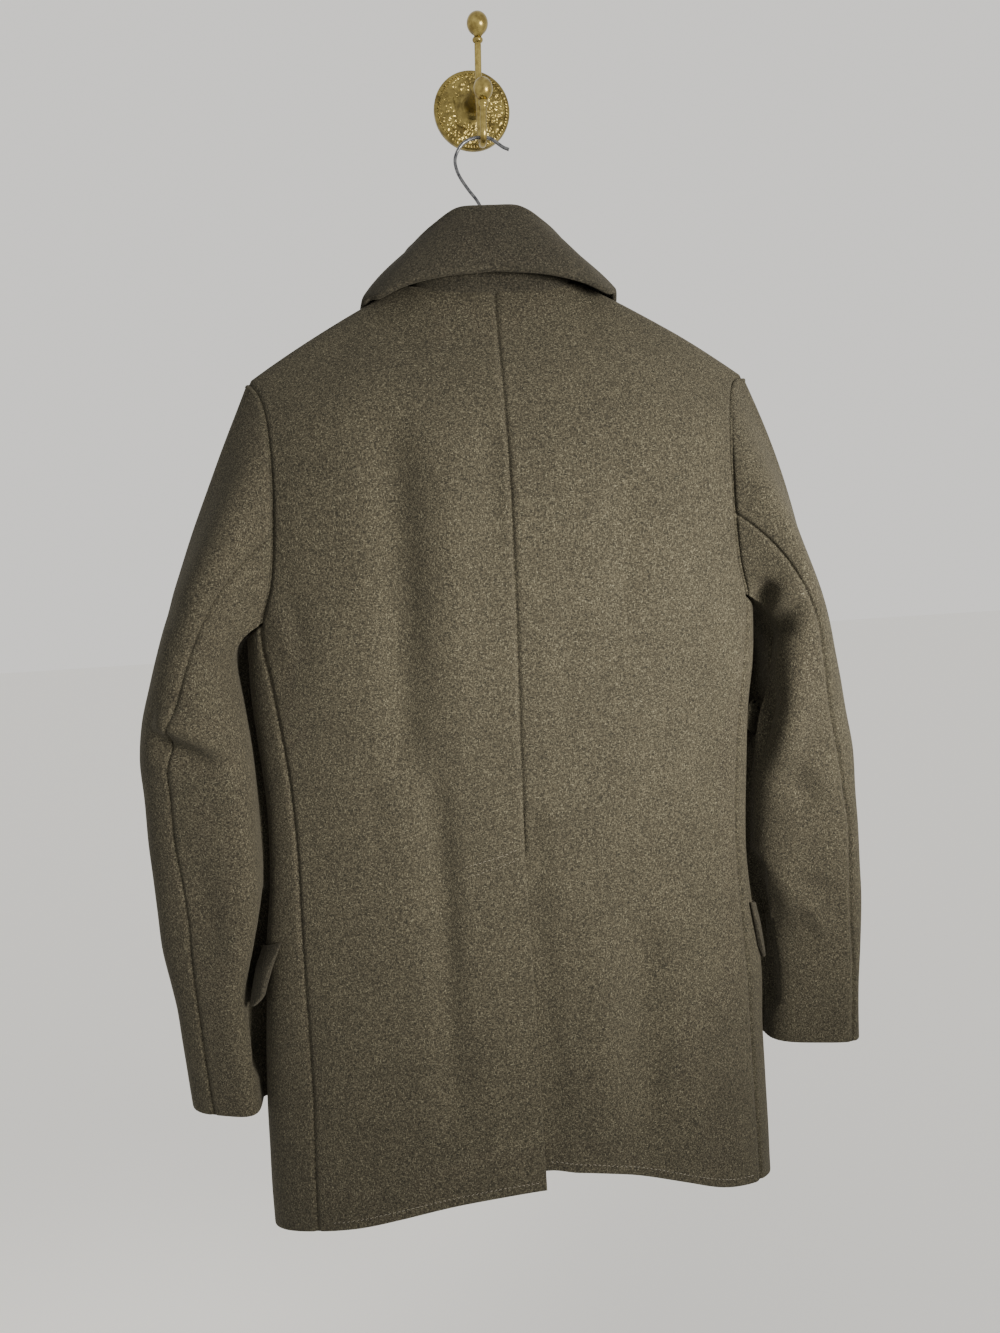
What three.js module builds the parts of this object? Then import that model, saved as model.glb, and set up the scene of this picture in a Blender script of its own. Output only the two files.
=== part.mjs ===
// A wool peacoat on a bent wire hanger, hung from a double-ball brass wall hook.
// Millimetres, +Z up. The origin is the middle of the wall plate's back face. The wall is the plane y = 0
// and the room lies towards -Y. The coat's fronts face the wall and its back faces the room.
// Left and right are the wearer's: the left half lies at -X.
import * as THREE from 'three';

const LEFT = -1;
const RIGHT = 1;
const { PI, abs, sin, cos, atan2, max, min, sqrt, pow } = Math;

// ---------------------------------------------------------------- driving sizes
const CLOTH = 3;            // melton with its lining, in the body and the sleeves
const COLLAR_CLOTH = 5;     // two layers of melton
const FLAP_CLOTH = 6;
const FLAP_GAP = 1;
const SEAM_GAP = 0.4;       // between neighbouring pieces
const COAT_X = 1.5;         // the coat's centre seam hangs this far to the right of the hook's centre

const NECK_HALF = 75;       // half the width of the neck at the shoulder seams
const NECK_POINT_Z = -170;
const NECK_BACK_Z = -180;
const NECK_BACK_TURN = PI / 3;  // how far the cloth has turned down at the back neck seam
const SHOULDER_BULGE = 4;
const BACK_ROUND = 100;     // height over which the back rounds over the shoulders
const FRONT_ROUND = 90;
const ARMPIT_Z = -456;
const ARMPIT_SAG = 12;      // the side panel's top dips this far between its seams
const FRONT_SEAM_IN = 8;    // the side-front seam lies this far inside the side-back seam
const SQUARENESS = 2.4;     // exponent of the torso's rounded sections

const TACK_Z = -676;        // the vent opens below this stitching
const VENT_UNDERLAP = 35;
const LAP_STEP = 4;         // one layer of cloth and a gap
const VENT_STEP = 5;        // how far the under half of the vent drops back
const BREAK_Z = -345;       // where the lapels' roll lines end
const FRONT_OVERLAP = 75;   // each front runs this far past the centre

// ---------------------------------------------------------------- tables
const table = (columns, rows) => rows.map((row) => Object.fromEntries(row.map((v, i) => [columns[i], v])));

// Torso sections. left and right: half widths. side, back, front: distance from the wall of its middle,
// of its back and of its front.
const TORSO = table(['z', 'left', 'right', 'side', 'back', 'front'], [
  [-130, 238, 244, 62, 88, 44],
  [-190, 238, 244, 62, 90, 40],
  [-220, 238, 244, 62, 96, 37],
  [-250, 238, 243, 62, 107, 34],
  [-300, 236, 238, 62, 121, 28],
  [-350, 234, 234, 62, 127, 23],
  [-400, 233, 231, 62, 127, 20],
  [-456, 233, 229, 62, 123, 18],
  [-510, 234, 228, 62, 116, 18],
  [-560, 232, 223, 61, 109, 20],
  [-620, 229, 220, 60, 103, 22],
  [-690, 231, 218, 60, 100, 22],
  [-750, 239, 222, 60, 109, 20],
  [-810, 243, 229, 60, 117, 18],
  [-880, 248, 229, 60, 124, 16],
  [-950, 250, 230, 60, 130, 15],
  [-1030, 251, 232, 60, 133, 15],
]);

// Outer edge of the back panels: the armhole above the armpit and the side-back seam below it.
const BACK_EDGE = table(['z', 'left', 'right'], [
  [-248, 216, 233],
  [-257, 211, 228],
  [-266, 207, 218],
  [-285, 202, 210],
  [-310, 199, 205],
  [-340, 198, 202],
  [-370, 199, 202],
  [-400, 202, 204],
  [-427, 207, 208],
  [-456, 217, 217],
  [-475, 218, 217],
  [-500, 214, 215],
  [-545, 209, 211],
  [-590, 205, 207],
  [-650, 203, 204],
  [-720, 204, 205],
  [-800, 204, 207],
  [-880, 204, 209],
  [-945, 206, 210],
  [-1030, 208, 212],
]);
const SHOULDER_TIP = { [LEFT]: { x: 216, z: -248 }, [RIGHT]: { x: 228, z: -257 } };

// Height of the back's hem against the distance from the centre seam.
const BACK_HEM = table(['x', 'left', 'right'], [
  [-40, -977, -961],
  [0, -977, -962],
  [40, -979, -966],
  [80, -983, -974],
  [130, -992, -991],
  [170, -1000, -1007],
  [207, -1005, -1016],
]);
const FRONT_HEM = { [LEFT]: -1022, [RIGHT]: -1021 };
const SIDE_HEM_SAG = 6;

// Largest folds of the back, from top to bottom at one x: a trough where depth is over 0, else a ridge.
const FOLDS = table(['x', 'top', 'bottom', 'width', 'depth'], [
  [-90, -268, -620, 18, 9],
  [-14, -270, -430, 13, 4],
  [-52, -280, -600, 20, -4],
  [97, -300, -500, 16, 2.5],
  [-165, -430, -560, 26, -3],
  [-76, -560, -930, 17, 6],
  [100, -720, -960, 22, 7],
  [60, -700, -990, 24, -4],
]);

// Sleeve sections. outer and inner: distance of the two edges from the middle. depth: from the wall to the
// section's middle. half: half its depth. seam: angle of the hind seam from the outer edge, in degrees.
// tilt: how much nearer to the wall the outer edge lies, and the inner edge further from it.
const SLEEVE = {
  [LEFT]: table(['z', 'outer', 'inner', 'depth', 'half', 'seam', 'tilt'], [
    [-500, 318, 243, 66, 50, 86, 3],
    [-536, 329, 239, 65, 48, 74, 6],
    [-568, 334, 236, 63, 45, 69, 8],
    [-603, 334, 235, 60, 42, 67, 10],
    [-644, 335, 235, 58, 39, 67, 12],
    [-676, 334, 236, 56, 37, 69, 12],
    [-713, 333, 240, 55, 35, 72, 12],
    [-746, 332, 248, 54, 34, 74, 12],
    [-780, 328, 257, 53, 33, 76, 12],
    [-805, 325, 259, 52, 32, 76, 12],
    [-835, 323, 257, 52, 32, 75, 12],
    [-900, 319, 253, 51, 31, 74, 12],
  ]),
  [RIGHT]: table(['z', 'outer', 'inner', 'depth', 'half', 'seam', 'tilt'], [
    [-500, 299, 245, 66, 49, 84, 0],
    [-536, 307, 240, 65, 47, 78, 0],
    [-568, 314, 230, 62, 44, 70, 0],
    [-603, 320, 228, 59, 41, 65, -2],
    [-644, 322, 227, 56, 38, 58, -5],
    [-676, 324, 227, 54, 36, 54, -7],
    [-712, 325, 227, 53, 34, 54, -9],
    [-745, 326, 234, 52, 33, 56, -10],
    [-780, 326, 242, 51, 32, 56, -10],
    [-805, 326, 243, 50, 31, 53, -10],
    [-836, 324, 241, 50, 31, 50, -10],
    [-895, 324, 237, 49, 30, 50, -10],
  ]),
};
const SLEEVE_ROWS = [-500, -520, -545, -580, -620, -660, -700, -735, -765, -800, -840];
// The wall side of each sleeve reaches in further, until it rests beside the body and its pocket flap.
const TUCK = { [LEFT]: { from: 195, to: 295, reach: 28 }, [RIGHT]: { from: 172, to: 290, reach: 20 } };
const REST_GAP = 3;
const FLAP_ROOM = { top: -722, bottom: -850, gap: 18, fade: 40 };
const CUFF_Z = { [LEFT]: -900, [RIGHT]: -895 };
// A section is a superellipse: nearly round at the armhole, and squarer where the sleeve hangs flat.
const SLEEVE_SQUARENESS = { top: 2.2, low: 3.6, over: 200 };
const FORE_SEAM_ANGLE = 250;        // of the inner front seam, in degrees from the outer edge
// Stations between the armhole and the first level section.
const SLEEVE_HEAD = [0.12, 0.26, 0.42, 0.6, 0.8];

// Collar, from the centre back to its point: x, depth and z of the neck seam, height and direction of the
// stand, place of the leaf's edge.
const COLLAR = table(['x', 'depth', 'z', 'stand', 'upX', 'upY', 'upZ', 'leafX', 'leafDepth', 'leafZ'], [
  [0, 84, -179.4, 71.5, 0, 0.1, 0.995, 0, 101, -169],
  [28, 83, -178.6, 70.5, -0.04, 0.13, 0.99, 42, 101, -172],
  [52, 79, -176, 58, -0.14, 0.2, 0.97, 76, 98, -178],
  [66, 71, -171.5, 42, -0.16, 0.26, 0.94, 101, 90, -186],
  [71, 59, -168, 31, -0.1, 0.4, 0.9, 112, 69, -181],
  [64, 49, -180, 24, -0.1, 0.65, 0.7, 117, 41, -194],
  [53, 43, -194, 19, -0.2, 0.85, 0.4, 113, 31, -222],
  [42, 38, -205, 15, -0.3, 0.92, 0.2, 99, 27, -243],
]);
const COLLAR_ROLL = 7;              // radius of the fold's outside
const COLLAR_BULGE = 3;

const BUTTON_RADIUS = 13.5;
const BUTTON_HEIGHT = 4;
const BUTTON_X = 56;
const BUTTON_RISE = 0.6;            // the cloth is curved behind a flat button
const BUTTON_ROWS = [-372, -482, -592];

const PLATE_RADIUS = 35;
const HOOK_X = 1.5;
const PRONG_DEPTH = 54;             // of the upright bar behind the hanger's hook
const TIP_DEPTH = 71;               // of the lower prong's tip in front of it
const CRADLE_Z = -52;               // lowest point of the lower prong's middle line
const ROD = 2.9;                    // radius of the prongs
const WIRE_RADIUS = 1.45;
const HANGER_GAP = 0.8;             // under the shoulder seams
const HANGER_REACH = 203;           // from the middle to its shoulders' ends

// ---------------------------------------------------------------- small helpers
const lerp = (a, b, f) => a + (b - a) * f;
const smooth = (f) => {
  const t = min(1, max(0, f));
  return t * t * (3 - 2 * t);
};
const vec = (x, y, z) => new THREE.Vector3(x, y, z);

// A smooth curve through a column of a table, read at the value v of the key column.
function read(rows, key, column, v) {
  const falling = rows[0][key] > rows[rows.length - 1][key];
  const list = falling ? [...rows].reverse() : rows;
  const last = list.length - 1;
  const at = min(last - 1, max(0, list.findIndex((row) => row[key] > v) - 1));
  const k = v >= list[last][key] ? last - 1 : at;
  const slope = (i) => (list[i + 1][column] - list[i][column]) / (list[i + 1][key] - list[i][key]);
  const tangent = (i) => (slope(max(0, i - 1)) + slope(min(last - 1, i))) / 2;
  const span = list[k + 1][key] - list[k][key];
  const f = min(1, max(0, (v - list[k][key]) / span));
  const g = 1 - f;
  return list[k][column] * (1 + 2 * f) * g * g + tangent(k) * span * f * g * g
    + list[k + 1][column] * f * f * (3 - 2 * f) - tangent(k + 1) * span * f * f * g;
}
const sideKey = (side) => (side === LEFT ? 'left' : 'right');

// Unit normal of a surface given by two parameters.
function normalOf(surface, u, v, du, dv) {
  const alongU = surface(u + du, v).sub(surface(u - du, v));
  const alongV = surface(u, v + dv).sub(surface(u, v - dv));
  return alongU.cross(alongV).normalize();
}

// Closed geometry from triangles of points.
function bodyFrom(triangles) {
  let volume = 0;
  for (const [a, b, c] of triangles) volume += a.dot(b.clone().cross(c));
  const numbers = [];
  for (const [a, b, c] of triangles) {
    for (const p of volume > 0 ? [a, b, c] : [a, c, b]) numbers.push(p.x, p.y, p.z);
  }
  const geometry = new THREE.BufferGeometry();
  geometry.setAttribute('position', new THREE.Float32BufferAttribute(numbers, 3));
  geometry.computeVertexNormals();
  return geometry;
}

// Moves the rim points of a grid inwards, so that neighbours keep a gap.
function pullIn(grid, by) {
  const moved = grid.map((row) => row.map((p) => p.clone()));
  const rows = grid.length - 1;
  const cols = grid[0].length - 1;
  const towards = (i, j, k, l) => {
    moved[i][j].add(grid[k][l].clone().sub(grid[i][j]).setLength(by));
  };
  for (let j = 0; j <= cols; j++) {
    towards(0, j, 1, j);
    towards(rows, j, rows - 1, j);
  }
  for (let i = 0; i <= rows; i++) {
    towards(i, 0, i, 1);
    towards(i, cols, i, cols - 1);
  }
  return moved;
}

// A wall of cloth between two grids of points.
function wall(outerGrid, innerGrid) {
  const outer = pullIn(outerGrid, SEAM_GAP / 2);
  const inner = pullIn(innerGrid, SEAM_GAP / 2);
  const rows = outer.length - 1;
  const cols = outer[0].length - 1;
  const triangles = [];
  const quad = (a, b, c, d) => triangles.push([a, b, c], [a, c, d]);
  for (let i = 0; i < rows; i++) {
    for (let j = 0; j < cols; j++) {
      quad(outer[i][j], outer[i][j + 1], outer[i + 1][j + 1], outer[i + 1][j]);
      quad(inner[i][j], inner[i + 1][j], inner[i + 1][j + 1], inner[i][j + 1]);
    }
  }
  for (let j = 0; j < cols; j++) {
    quad(outer[0][j], inner[0][j], inner[0][j + 1], outer[0][j + 1]);
    quad(outer[rows][j], outer[rows][j + 1], inner[rows][j + 1], inner[rows][j]);
  }
  for (let i = 0; i < rows; i++) {
    quad(outer[i][0], outer[i + 1][0], inner[i + 1][0], inner[i][0]);
    quad(outer[i][cols], inner[i][cols], inner[i + 1][cols], outer[i + 1][cols]);
  }
  return bodyFrom(triangles);
}

// A wall whose inside is the outside moved by the cloth's thickness along the surface's own normals.
function panel(surface, us, vs, { thickness = CLOTH, lift = 0, outward = 1 } = {}) {
  const grid = (distance) => vs.map((v) => us.map((u) => {
    const normal = normalOf(surface, u, v, 1e-3, 1e-3).multiplyScalar(outward);
    return surface(u, v).addScaledVector(normal, distance);
  }));
  return wall(grid(lift), grid(lift - thickness));
}

// A round bar along a line of points, with its own radius at each of them.
function bar(points, radii, sides) {
  const rings = [];
  const across = vec(0, 0, 0);
  points.forEach((point, i) => {
    const along = points[min(i + 1, points.length - 1)].clone().sub(points[max(i - 1, 0)]).normalize();
    if (i === 0) across.copy(abs(along.x) < 0.8 ? vec(1, 0, 0) : vec(0, 1, 0));
    across.addScaledVector(along, -across.dot(along)).normalize();
    const other = along.clone().cross(across);
    rings.push(Array.from({ length: sides }, (_, k) => {
      const turn = (2 * PI * k) / sides;
      return point.clone().addScaledVector(across, radii[i] * cos(turn))
        .addScaledVector(other, radii[i] * sin(turn));
    }));
  });
  const triangles = [];
  const last = rings.length - 1;
  for (let k = 0; k < sides; k++) {
    const n = (k + 1) % sides;
    triangles.push([points[0], rings[0][n], rings[0][k]], [points[last], rings[last][k], rings[last][n]]);
    for (let i = 0; i < last; i++) {
      triangles.push([rings[i][k], rings[i][n], rings[i + 1][n]]);
      triangles.push([rings[i][k], rings[i + 1][n], rings[i + 1][k]]);
    }
  }
  return bodyFrom(triangles);
}

const steps = (from, to, count) => Array.from({ length: count + 1 }, (_, i) => lerp(from, to, i / count));

// ---------------------------------------------------------------- torso surface
const profile = (ratio) => pow(max(1e-6, 1 - pow(min(1, abs(ratio)), SQUARENESS)), 1 / SQUARENESS);

// The line over the shoulders, and its smooth run on across the neck.
function crest(side, x) {
  const tip = SHOULDER_TIP[side];
  const f = max(0, (x - NECK_HALF) / (tip.x - NECK_HALF));
  return lerp(NECK_POINT_Z, tip.z, f) + SHOULDER_BULGE * sin(PI * min(1, f));
}

// How far the back has already turned down at its top edge, and where its crest would be.
const neckTurn = (x) => NECK_BACK_TURN * sqrt(max(0, 1 - pow(min(1, abs(x) / NECK_HALF), 2)));
function backCrest(side, x) {
  const across = min(1, abs(x) / NECK_HALF);
  if (across >= 1) return crest(side, x);
  return lerp(NECK_BACK_Z, NECK_POINT_Z, pow(across, 3)) + BACK_ROUND * (1 - cos(neckTurn(x)));
}

function foldDepth(x, z) {
  let sum = 0;
  for (const fold of FOLDS) {
    const ends = smooth((fold.top - z) / 60) * smooth((z - fold.bottom) / 60);
    sum += fold.depth * ends * Math.exp(-pow((x - fold.x) / fold.width, 2));
  }
  return sum;
}

const hemBack = (side, x) => read(BACK_HEM, 'x', sideKey(side), x);

// A point of the back or the fronts. x is measured from the centre towards this side. t runs down the coat:
// 0 to 1 round the shoulder, 1 to 2 to the armpit, 2 to 3 to the hem.
function torso(side, x, t, front) {
  const turnTop = front ? 0 : neckTurn(x);
  const top = front ? crest(side, x) : backCrest(side, x);
  const turn = min(PI / 2, turnTop + t * (PI / 2 - turnTop)) * (front ? -1 : 1);
  const round = turn > 0 ? BACK_ROUND : FRONT_ROUND;
  const hem = front ? FRONT_HEM[side] : hemBack(side, x);
  let z = top - round * (1 - cos(turn));
  if (t > 1) z = lerp(top - round, ARMPIT_Z, t - 1);
  if (t > 2) z = lerp(ARMPIT_Z, hem, t - 2);
  const half = read(TORSO, 'z', sideKey(side), z);
  const middle = read(TORSO, 'z', 'side', z);
  const rise = turn > 0 ? read(TORSO, 'z', 'back', z) - middle : middle - read(TORSO, 'z', 'front', z);
  let depth = middle + rise * profile(x / half) * sin(turn);
  if (!front) depth -= foldDepth(side * x, z);
  return vec(COAT_X + side * x, -depth, z);
}

// Height of the outer edge of a panel at the same t.
function edgeZ(side, t, front) {
  const tip = SHOULDER_TIP[side].z;
  const round = front ? FRONT_ROUND : BACK_ROUND;
  if (t <= 1) return tip - round * (1 - cos((t * PI) / 2));
  if (t <= 2) return lerp(tip - round, ARMPIT_Z, t - 1);
  return lerp(ARMPIT_Z, sideHem(side, front), t - 2);
}
const sideHem = (side, front) => (front ? FRONT_HEM[side] : hemBack(side, 207));
function edgeX(side, t, front) {
  const x = read(BACK_EDGE, 'z', sideKey(side), edgeZ(side, t, front));
  return t <= 0 ? SHOULDER_TIP[side].x : x - (front ? FRONT_SEAM_IN * smooth(t) : 0);
}

// ---------------------------------------------------------------- panels of the body
const SHOULDER_ROWS = [0, 0.2, 0.4, 0.6, 0.8, 1, 1.36, 1.7];
const LOWER_ROWS = steps(2, 3, 15);
const BODY_ROWS = [...SHOULDER_ROWS, ...LOWER_ROWS];

// Backs: column 0 at the centre seam, column 1 at the armhole and the side-back seam.
function backSurface(side) {
  return (u, t) => {
    const outer = edgeX(side, t, false);
    const below = smooth((TACK_Z - torso(side, 0, t, false).z) / 14);
    const inner = side === RIGHT ? -VENT_UNDERLAP * below : 0;
    const x = lerp(inner, outer, u);
    const point = torso(side, x, t, false);
    if (side === RIGHT) {
      const opening = smooth((TACK_Z + 50 - point.z) / 20);
      point.y += VENT_STEP * opening * smooth((30 - x) / 24);
    }
    return point;
  };
}

// Fronts: column 0 at the roll line and the front edge, column 1 at the armhole and the side-front seam.
function frontInner(side, t) {
  if (t <= 0) return NECK_HALF;
  const z = edgeZInner(side, t);
  const f = min(1, max(0, (NECK_POINT_Z - z) / (NECK_POINT_Z - BREAK_Z)));
  return lerp(NECK_HALF, -FRONT_OVERLAP, f);
}
function edgeZInner(side, t) {
  if (t <= 1) return NECK_POINT_Z - FRONT_ROUND * (1 - cos((t * PI) / 2));
  if (t <= 2) return lerp(NECK_POINT_Z - FRONT_ROUND, ARMPIT_Z, t - 1);
  return lerp(ARMPIT_Z, FRONT_HEM[side], t - 2);
}
// The left front laps over the right one, so it stands one layer nearer to the wall.
const lapLift = (side, x) => (side === LEFT ? LAP_STEP * smooth((FRONT_OVERLAP + 70 - x) / 35) : 0);
function frontAt(side, x, t) {
  const point = torso(side, x, t, true);
  point.y += lapLift(side, x) * smooth(t / 1.2);
  return point;
}
const frontSurface = (side) => (u, t) => (
  frontAt(side, lerp(frontInner(side, t), edgeX(side, t, true), u), t));

// Side panels: u from the side-back seam round to the side-front seam, t from the armpit (2) to the hem (3).
function sideSurface(side) {
  return (u, t) => {
    const hem = lerp(sideHem(side, false), sideHem(side, true), u) - SIDE_HEM_SAG * sin(PI * u);
    const z = lerp(ARMPIT_Z - ARMPIT_SAG * sin(PI * min(1, max(0, u))), hem, t - 2);
    const half = read(TORSO, 'z', sideKey(side), z);
    const middle = read(TORSO, 'z', 'side', z);
    const backX = read(BACK_EDGE, 'z', sideKey(side), z);
    const frontX = backX - FRONT_SEAM_IN;
    const from = atan2(backX / half, profile(backX / half));
    const to = PI - atan2(frontX / half, profile(frontX / half));
    const angle = lerp(from, to, u);
    const reach = pow(pow(abs(sin(angle)), SQUARENESS) + pow(abs(cos(angle)), SQUARENESS), -1 / SQUARENESS);
    const toBack = reach * cos(angle);
    const rise = toBack > 0 ? read(TORSO, 'z', 'back', z) - middle : middle - read(TORSO, 'z', 'front', z);
    return vec(COAT_X + side * half * reach * sin(angle), -(middle + rise * toBack), z);
  };
}
const SIDE_COLUMNS = steps(0, 1, 5);

// ---------------------------------------------------------------- sleeves
// The armhole as a closed ring of edge points: down the back, under the arm, up the front.
function armhole(side) {
  const pair = (surface, u, v, outward) => {
    const outer = surface(u, v);
    const normal = normalOf(surface, u, v, 1e-3, 1e-3).multiplyScalar(outward);
    return { outer, inner: outer.clone().addScaledVector(normal, -CLOTH) };
  };
  const rows = [...SHOULDER_ROWS, 2];
  const ring = rows.map((t) => pair(backSurface(side), 1, t, outwardBack(side)));
  for (const u of SIDE_COLUMNS.slice(1, -1)) ring.push(pair(sideSurface(side), u, 2, outwardBack(side)));
  const frontRows = [...rows].reverse().slice(0, -1);
  for (const t of frontRows) ring.push(pair(frontSurface(side), 1, t, -outwardBack(side)));
  return ring;
}
const outwardBack = (side) => (side === LEFT ? 1 : -1);

// How far the body reaches from the centre at one depth and height, and the room a sleeve leaves beside it.
function bodyReach(side, depth, z) {
  const middle = read(TORSO, 'z', 'side', z);
  const rise = depth > middle ? read(TORSO, 'z', 'back', z) - middle : middle - read(TORSO, 'z', 'front', z);
  return read(TORSO, 'z', sideKey(side), z) * profile((depth - middle) / rise);
}
function restGap(z) {
  const { top, bottom, gap, fade } = FLAP_ROOM;
  return lerp(REST_GAP, gap, smooth((top + fade - z) / fade) * smooth((z - bottom + fade) / fade));
}

// Angle of each ring point about the sleeve, first round the back: 0 at the shoulder, 180 under the arm.
function ringAngles(ring, lowest) {
  const length = (i) => ring[i].outer.distanceTo(ring[(i + 1) % ring.length].outer);
  const down = ring.slice(0, lowest).reduce((sum, _, i) => sum + length(i), 0);
  const up = ring.slice(lowest).reduce((sum, _, i) => sum + length(lowest + i), 0);
  const angles = [0];
  for (let i = 0; i < ring.length - 1; i++) {
    angles.push(angles[i] + (180 / (i < lowest ? down : up)) * length(i));
  }
  return angles;
}

function sleeveGrids(side) {
  const ring = armhole(side);
  const hindSeam = SHOULDER_ROWS.indexOf(1.36);
  const lowest = SHOULDER_ROWS.length + 2;
  const angles = ringAngles(ring, lowest);
  const foreSeam = angles.findIndex((angle) => angle > FORE_SEAM_ANGLE);
  const rows = SLEEVE[side];

  // The hind seam wanders round the sleeve on its way down, and the angles on either side follow it.
  const turned = (j, z) => {
    const seam = read(rows, 'z', 'seam', z);
    const start = angles[hindSeam];
    if (angles[j] <= start) return (angles[j] / start) * seam;
    if (angles[j] < 180) return lerp(seam, 180, (angles[j] - start) / (180 - start));
    return angles[j];
  };
  const level = (j, z) => {
    const angle = (turned(j, z) * PI) / 180;
    const outer = read(rows, 'z', 'outer', z);
    const inner = read(rows, 'z', 'inner', z);
    const { top, low, over } = SLEEVE_SQUARENESS;
    const square = lerp(top, low, smooth((SLEEVE_ROWS[0] - z) / over));
    const reach = pow(pow(abs(sin(angle)), square) + pow(abs(cos(angle)), square), -1 / square);
    const depth = read(rows, 'z', 'depth', z) + read(rows, 'z', 'half', z) * reach * sin(angle)
      - read(rows, 'z', 'tilt', z) * reach * cos(angle);
    const tucked = (turned(j, z) - TUCK[side].from) / (TUCK[side].to - TUCK[side].from);
    let x = (outer + inner) / 2 + ((outer - inner) / 2) * reach * cos(angle);
    x -= TUCK[side].reach * sin(PI * min(1, max(0, tucked)));
    if (cos(angle) < 0) x = max(x, bodyReach(side, depth, z) + restGap(z));
    return vec(COAT_X + side * x, -depth, z);
  };
  const headPoint = (j, f) => {
    const start = ring[j].outer;
    const end = level(j, SLEEVE_ROWS[0]);
    const slope = level(j, SLEEVE_ROWS[0] - 6).sub(end).multiplyScalar(1 / 6);
    const under = (1 - cos((angles[j] * PI) / 180)) / 2;
    const reach = start.distanceTo(end);
    const leave = vec(side * (0.42 + 0.5 * under), -0.3 * sin((angles[j] * PI) / 180), 0.6 * under - 0.9);
    leave.setLength(reach * 1.05);
    slope.multiplyScalar(reach);
    const g = 1 - f;
    return start.clone().multiplyScalar((1 + 2 * f) * g * g).addScaledVector(leave, f * g * g)
      .addScaledVector(end, f * f * (3 - 2 * f)).addScaledVector(slope, -f * f * g);
  };
  const columns = ring.map((_, j) => j);
  const outer = [ring.map((p) => p.outer)];
  for (const f of SLEEVE_HEAD) outer.push(columns.map((j) => headPoint(j, f)));
  for (const z of [...SLEEVE_ROWS, CUFF_Z[side]]) outer.push(columns.map((j) => level(j, z)));

  const count = columns.length;
  const inner = outer.map((points, i) => points.map((p, j) => {
    if (i === 0) return ring[j].inner;
    const around = points[(j + 1) % count].clone().sub(points[(j + count - 1) % count]);
    const along = outer[min(i + 1, outer.length - 1)][j].clone().sub(outer[i - 1][j]);
    return p.clone().addScaledVector(around.cross(along).normalize(), CLOTH * -side);
  }));
  const cut = (grid, from, to) => grid.map((row) => {
    const picked = [];
    for (let j = from; j <= to; j++) picked.push(row[(j + count) % count]);
    return picked;
  });
  return {
    under: [cut(outer, hindSeam, foreSeam), cut(inner, hindSeam, foreSeam)],
    top: [cut(outer, foreSeam - count, hindSeam), cut(inner, foreSeam - count, hindSeam)],
  };
}

// ---------------------------------------------------------------- collar
function collarGrids() {
  const numbered = COLLAR.map((row, k) => ({ ...row, k }));
  const at = (column, k) => read(numbered, 'k', column, k);
  const stationAt = (signed) => {
    const side = signed < 0 ? LEFT : RIGHT;
    const k = abs(signed);
    const place = (x, depth, z) => vec(COAT_X + side * x, -depth, z);
    const seam = place(at('x', k), at('depth', k), at('z', k));
    const leaf = place(at('leafX', k), at('leafDepth', k), at('leafZ', k));
    const up = vec(side * at('upX', k), at('upY', k), at('upZ', k)).normalize();
    const out = leaf.clone().sub(seam);
    out.addScaledVector(up, -out.dot(up)).normalize();
    const centre = seam.clone().addScaledVector(up, at('stand', k) - COLLAR_ROLL);
    const foot = seam.clone().addScaledVector(out, -COLLAR_CLOTH);
    return { seam, leaf, up, out, centre, foot };
  };
  const onPath = (s, v) => {
    const outer = s.centre.clone().addScaledVector(s.out, COLLAR_ROLL);
    const neck = s.centre.clone().addScaledVector(s.out, -COLLAR_ROLL);
    if (v <= 1) {
      const middle = s.leaf.clone().lerp(outer, 0.5).addScaledVector(s.out, COLLAR_BULGE * 2);
      return s.leaf.clone().multiplyScalar((1 - v) ** 2).addScaledVector(middle, 2 * v * (1 - v))
        .addScaledVector(outer, v * v);
    }
    if (v <= 2) {
      const turn = PI * (v - 1);
      return s.centre.clone().addScaledVector(s.out, COLLAR_ROLL * cos(turn))
        .addScaledVector(s.up, COLLAR_ROLL * sin(turn));
    }
    return neck.lerp(s.foot, v - 2);
  };
  const stations = steps(-(COLLAR.length - 1), COLLAR.length - 1, 4 * (COLLAR.length - 1));
  const path = [...steps(0, 1, 5), ...steps(1, 2, 5).slice(1), ...steps(2, 3, 3).slice(1)];
  const outer = path.map((v) => stations.map((k) => onPath(stationAt(k), v)));
  const rows = outer.length - 1;
  const cols = outer[0].length - 1;
  const inner = outer.map((row, i) => row.map((p, j) => {
    const along = row[min(j + 1, cols)].clone().sub(row[max(j - 1, 0)]);
    const down = outer[min(i + 1, rows)][j].clone().sub(outer[max(i - 1, 0)][j]);
    return p.clone().addScaledVector(along.cross(down).normalize(), -COLLAR_CLOTH);
  }));
  return [outer, inner];
}

// ---------------------------------------------------------------- pieces laid on the fronts
// The row parameter of the front at a wanted height.
function frontRow(side, x, z) {
  let low = 0;
  let high = 3;
  for (let i = 0; i < 40; i++) {
    const middle = (low + high) / 2;
    if (frontAt(side, x, middle).z > z) low = middle;
    else high = middle;
  }
  return (low + high) / 2;
}
function onFront(side, x, z, lift) {
  const t = frontRow(side, x, z);
  const normal = normalOf((a, b) => frontAt(side, a, b), x, t, 0.5, 2e-3).multiplyScalar(-side);
  if (normal.y < 0) normal.negate();
  return frontAt(side, x, t).addScaledVector(normal, lift);
}

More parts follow.
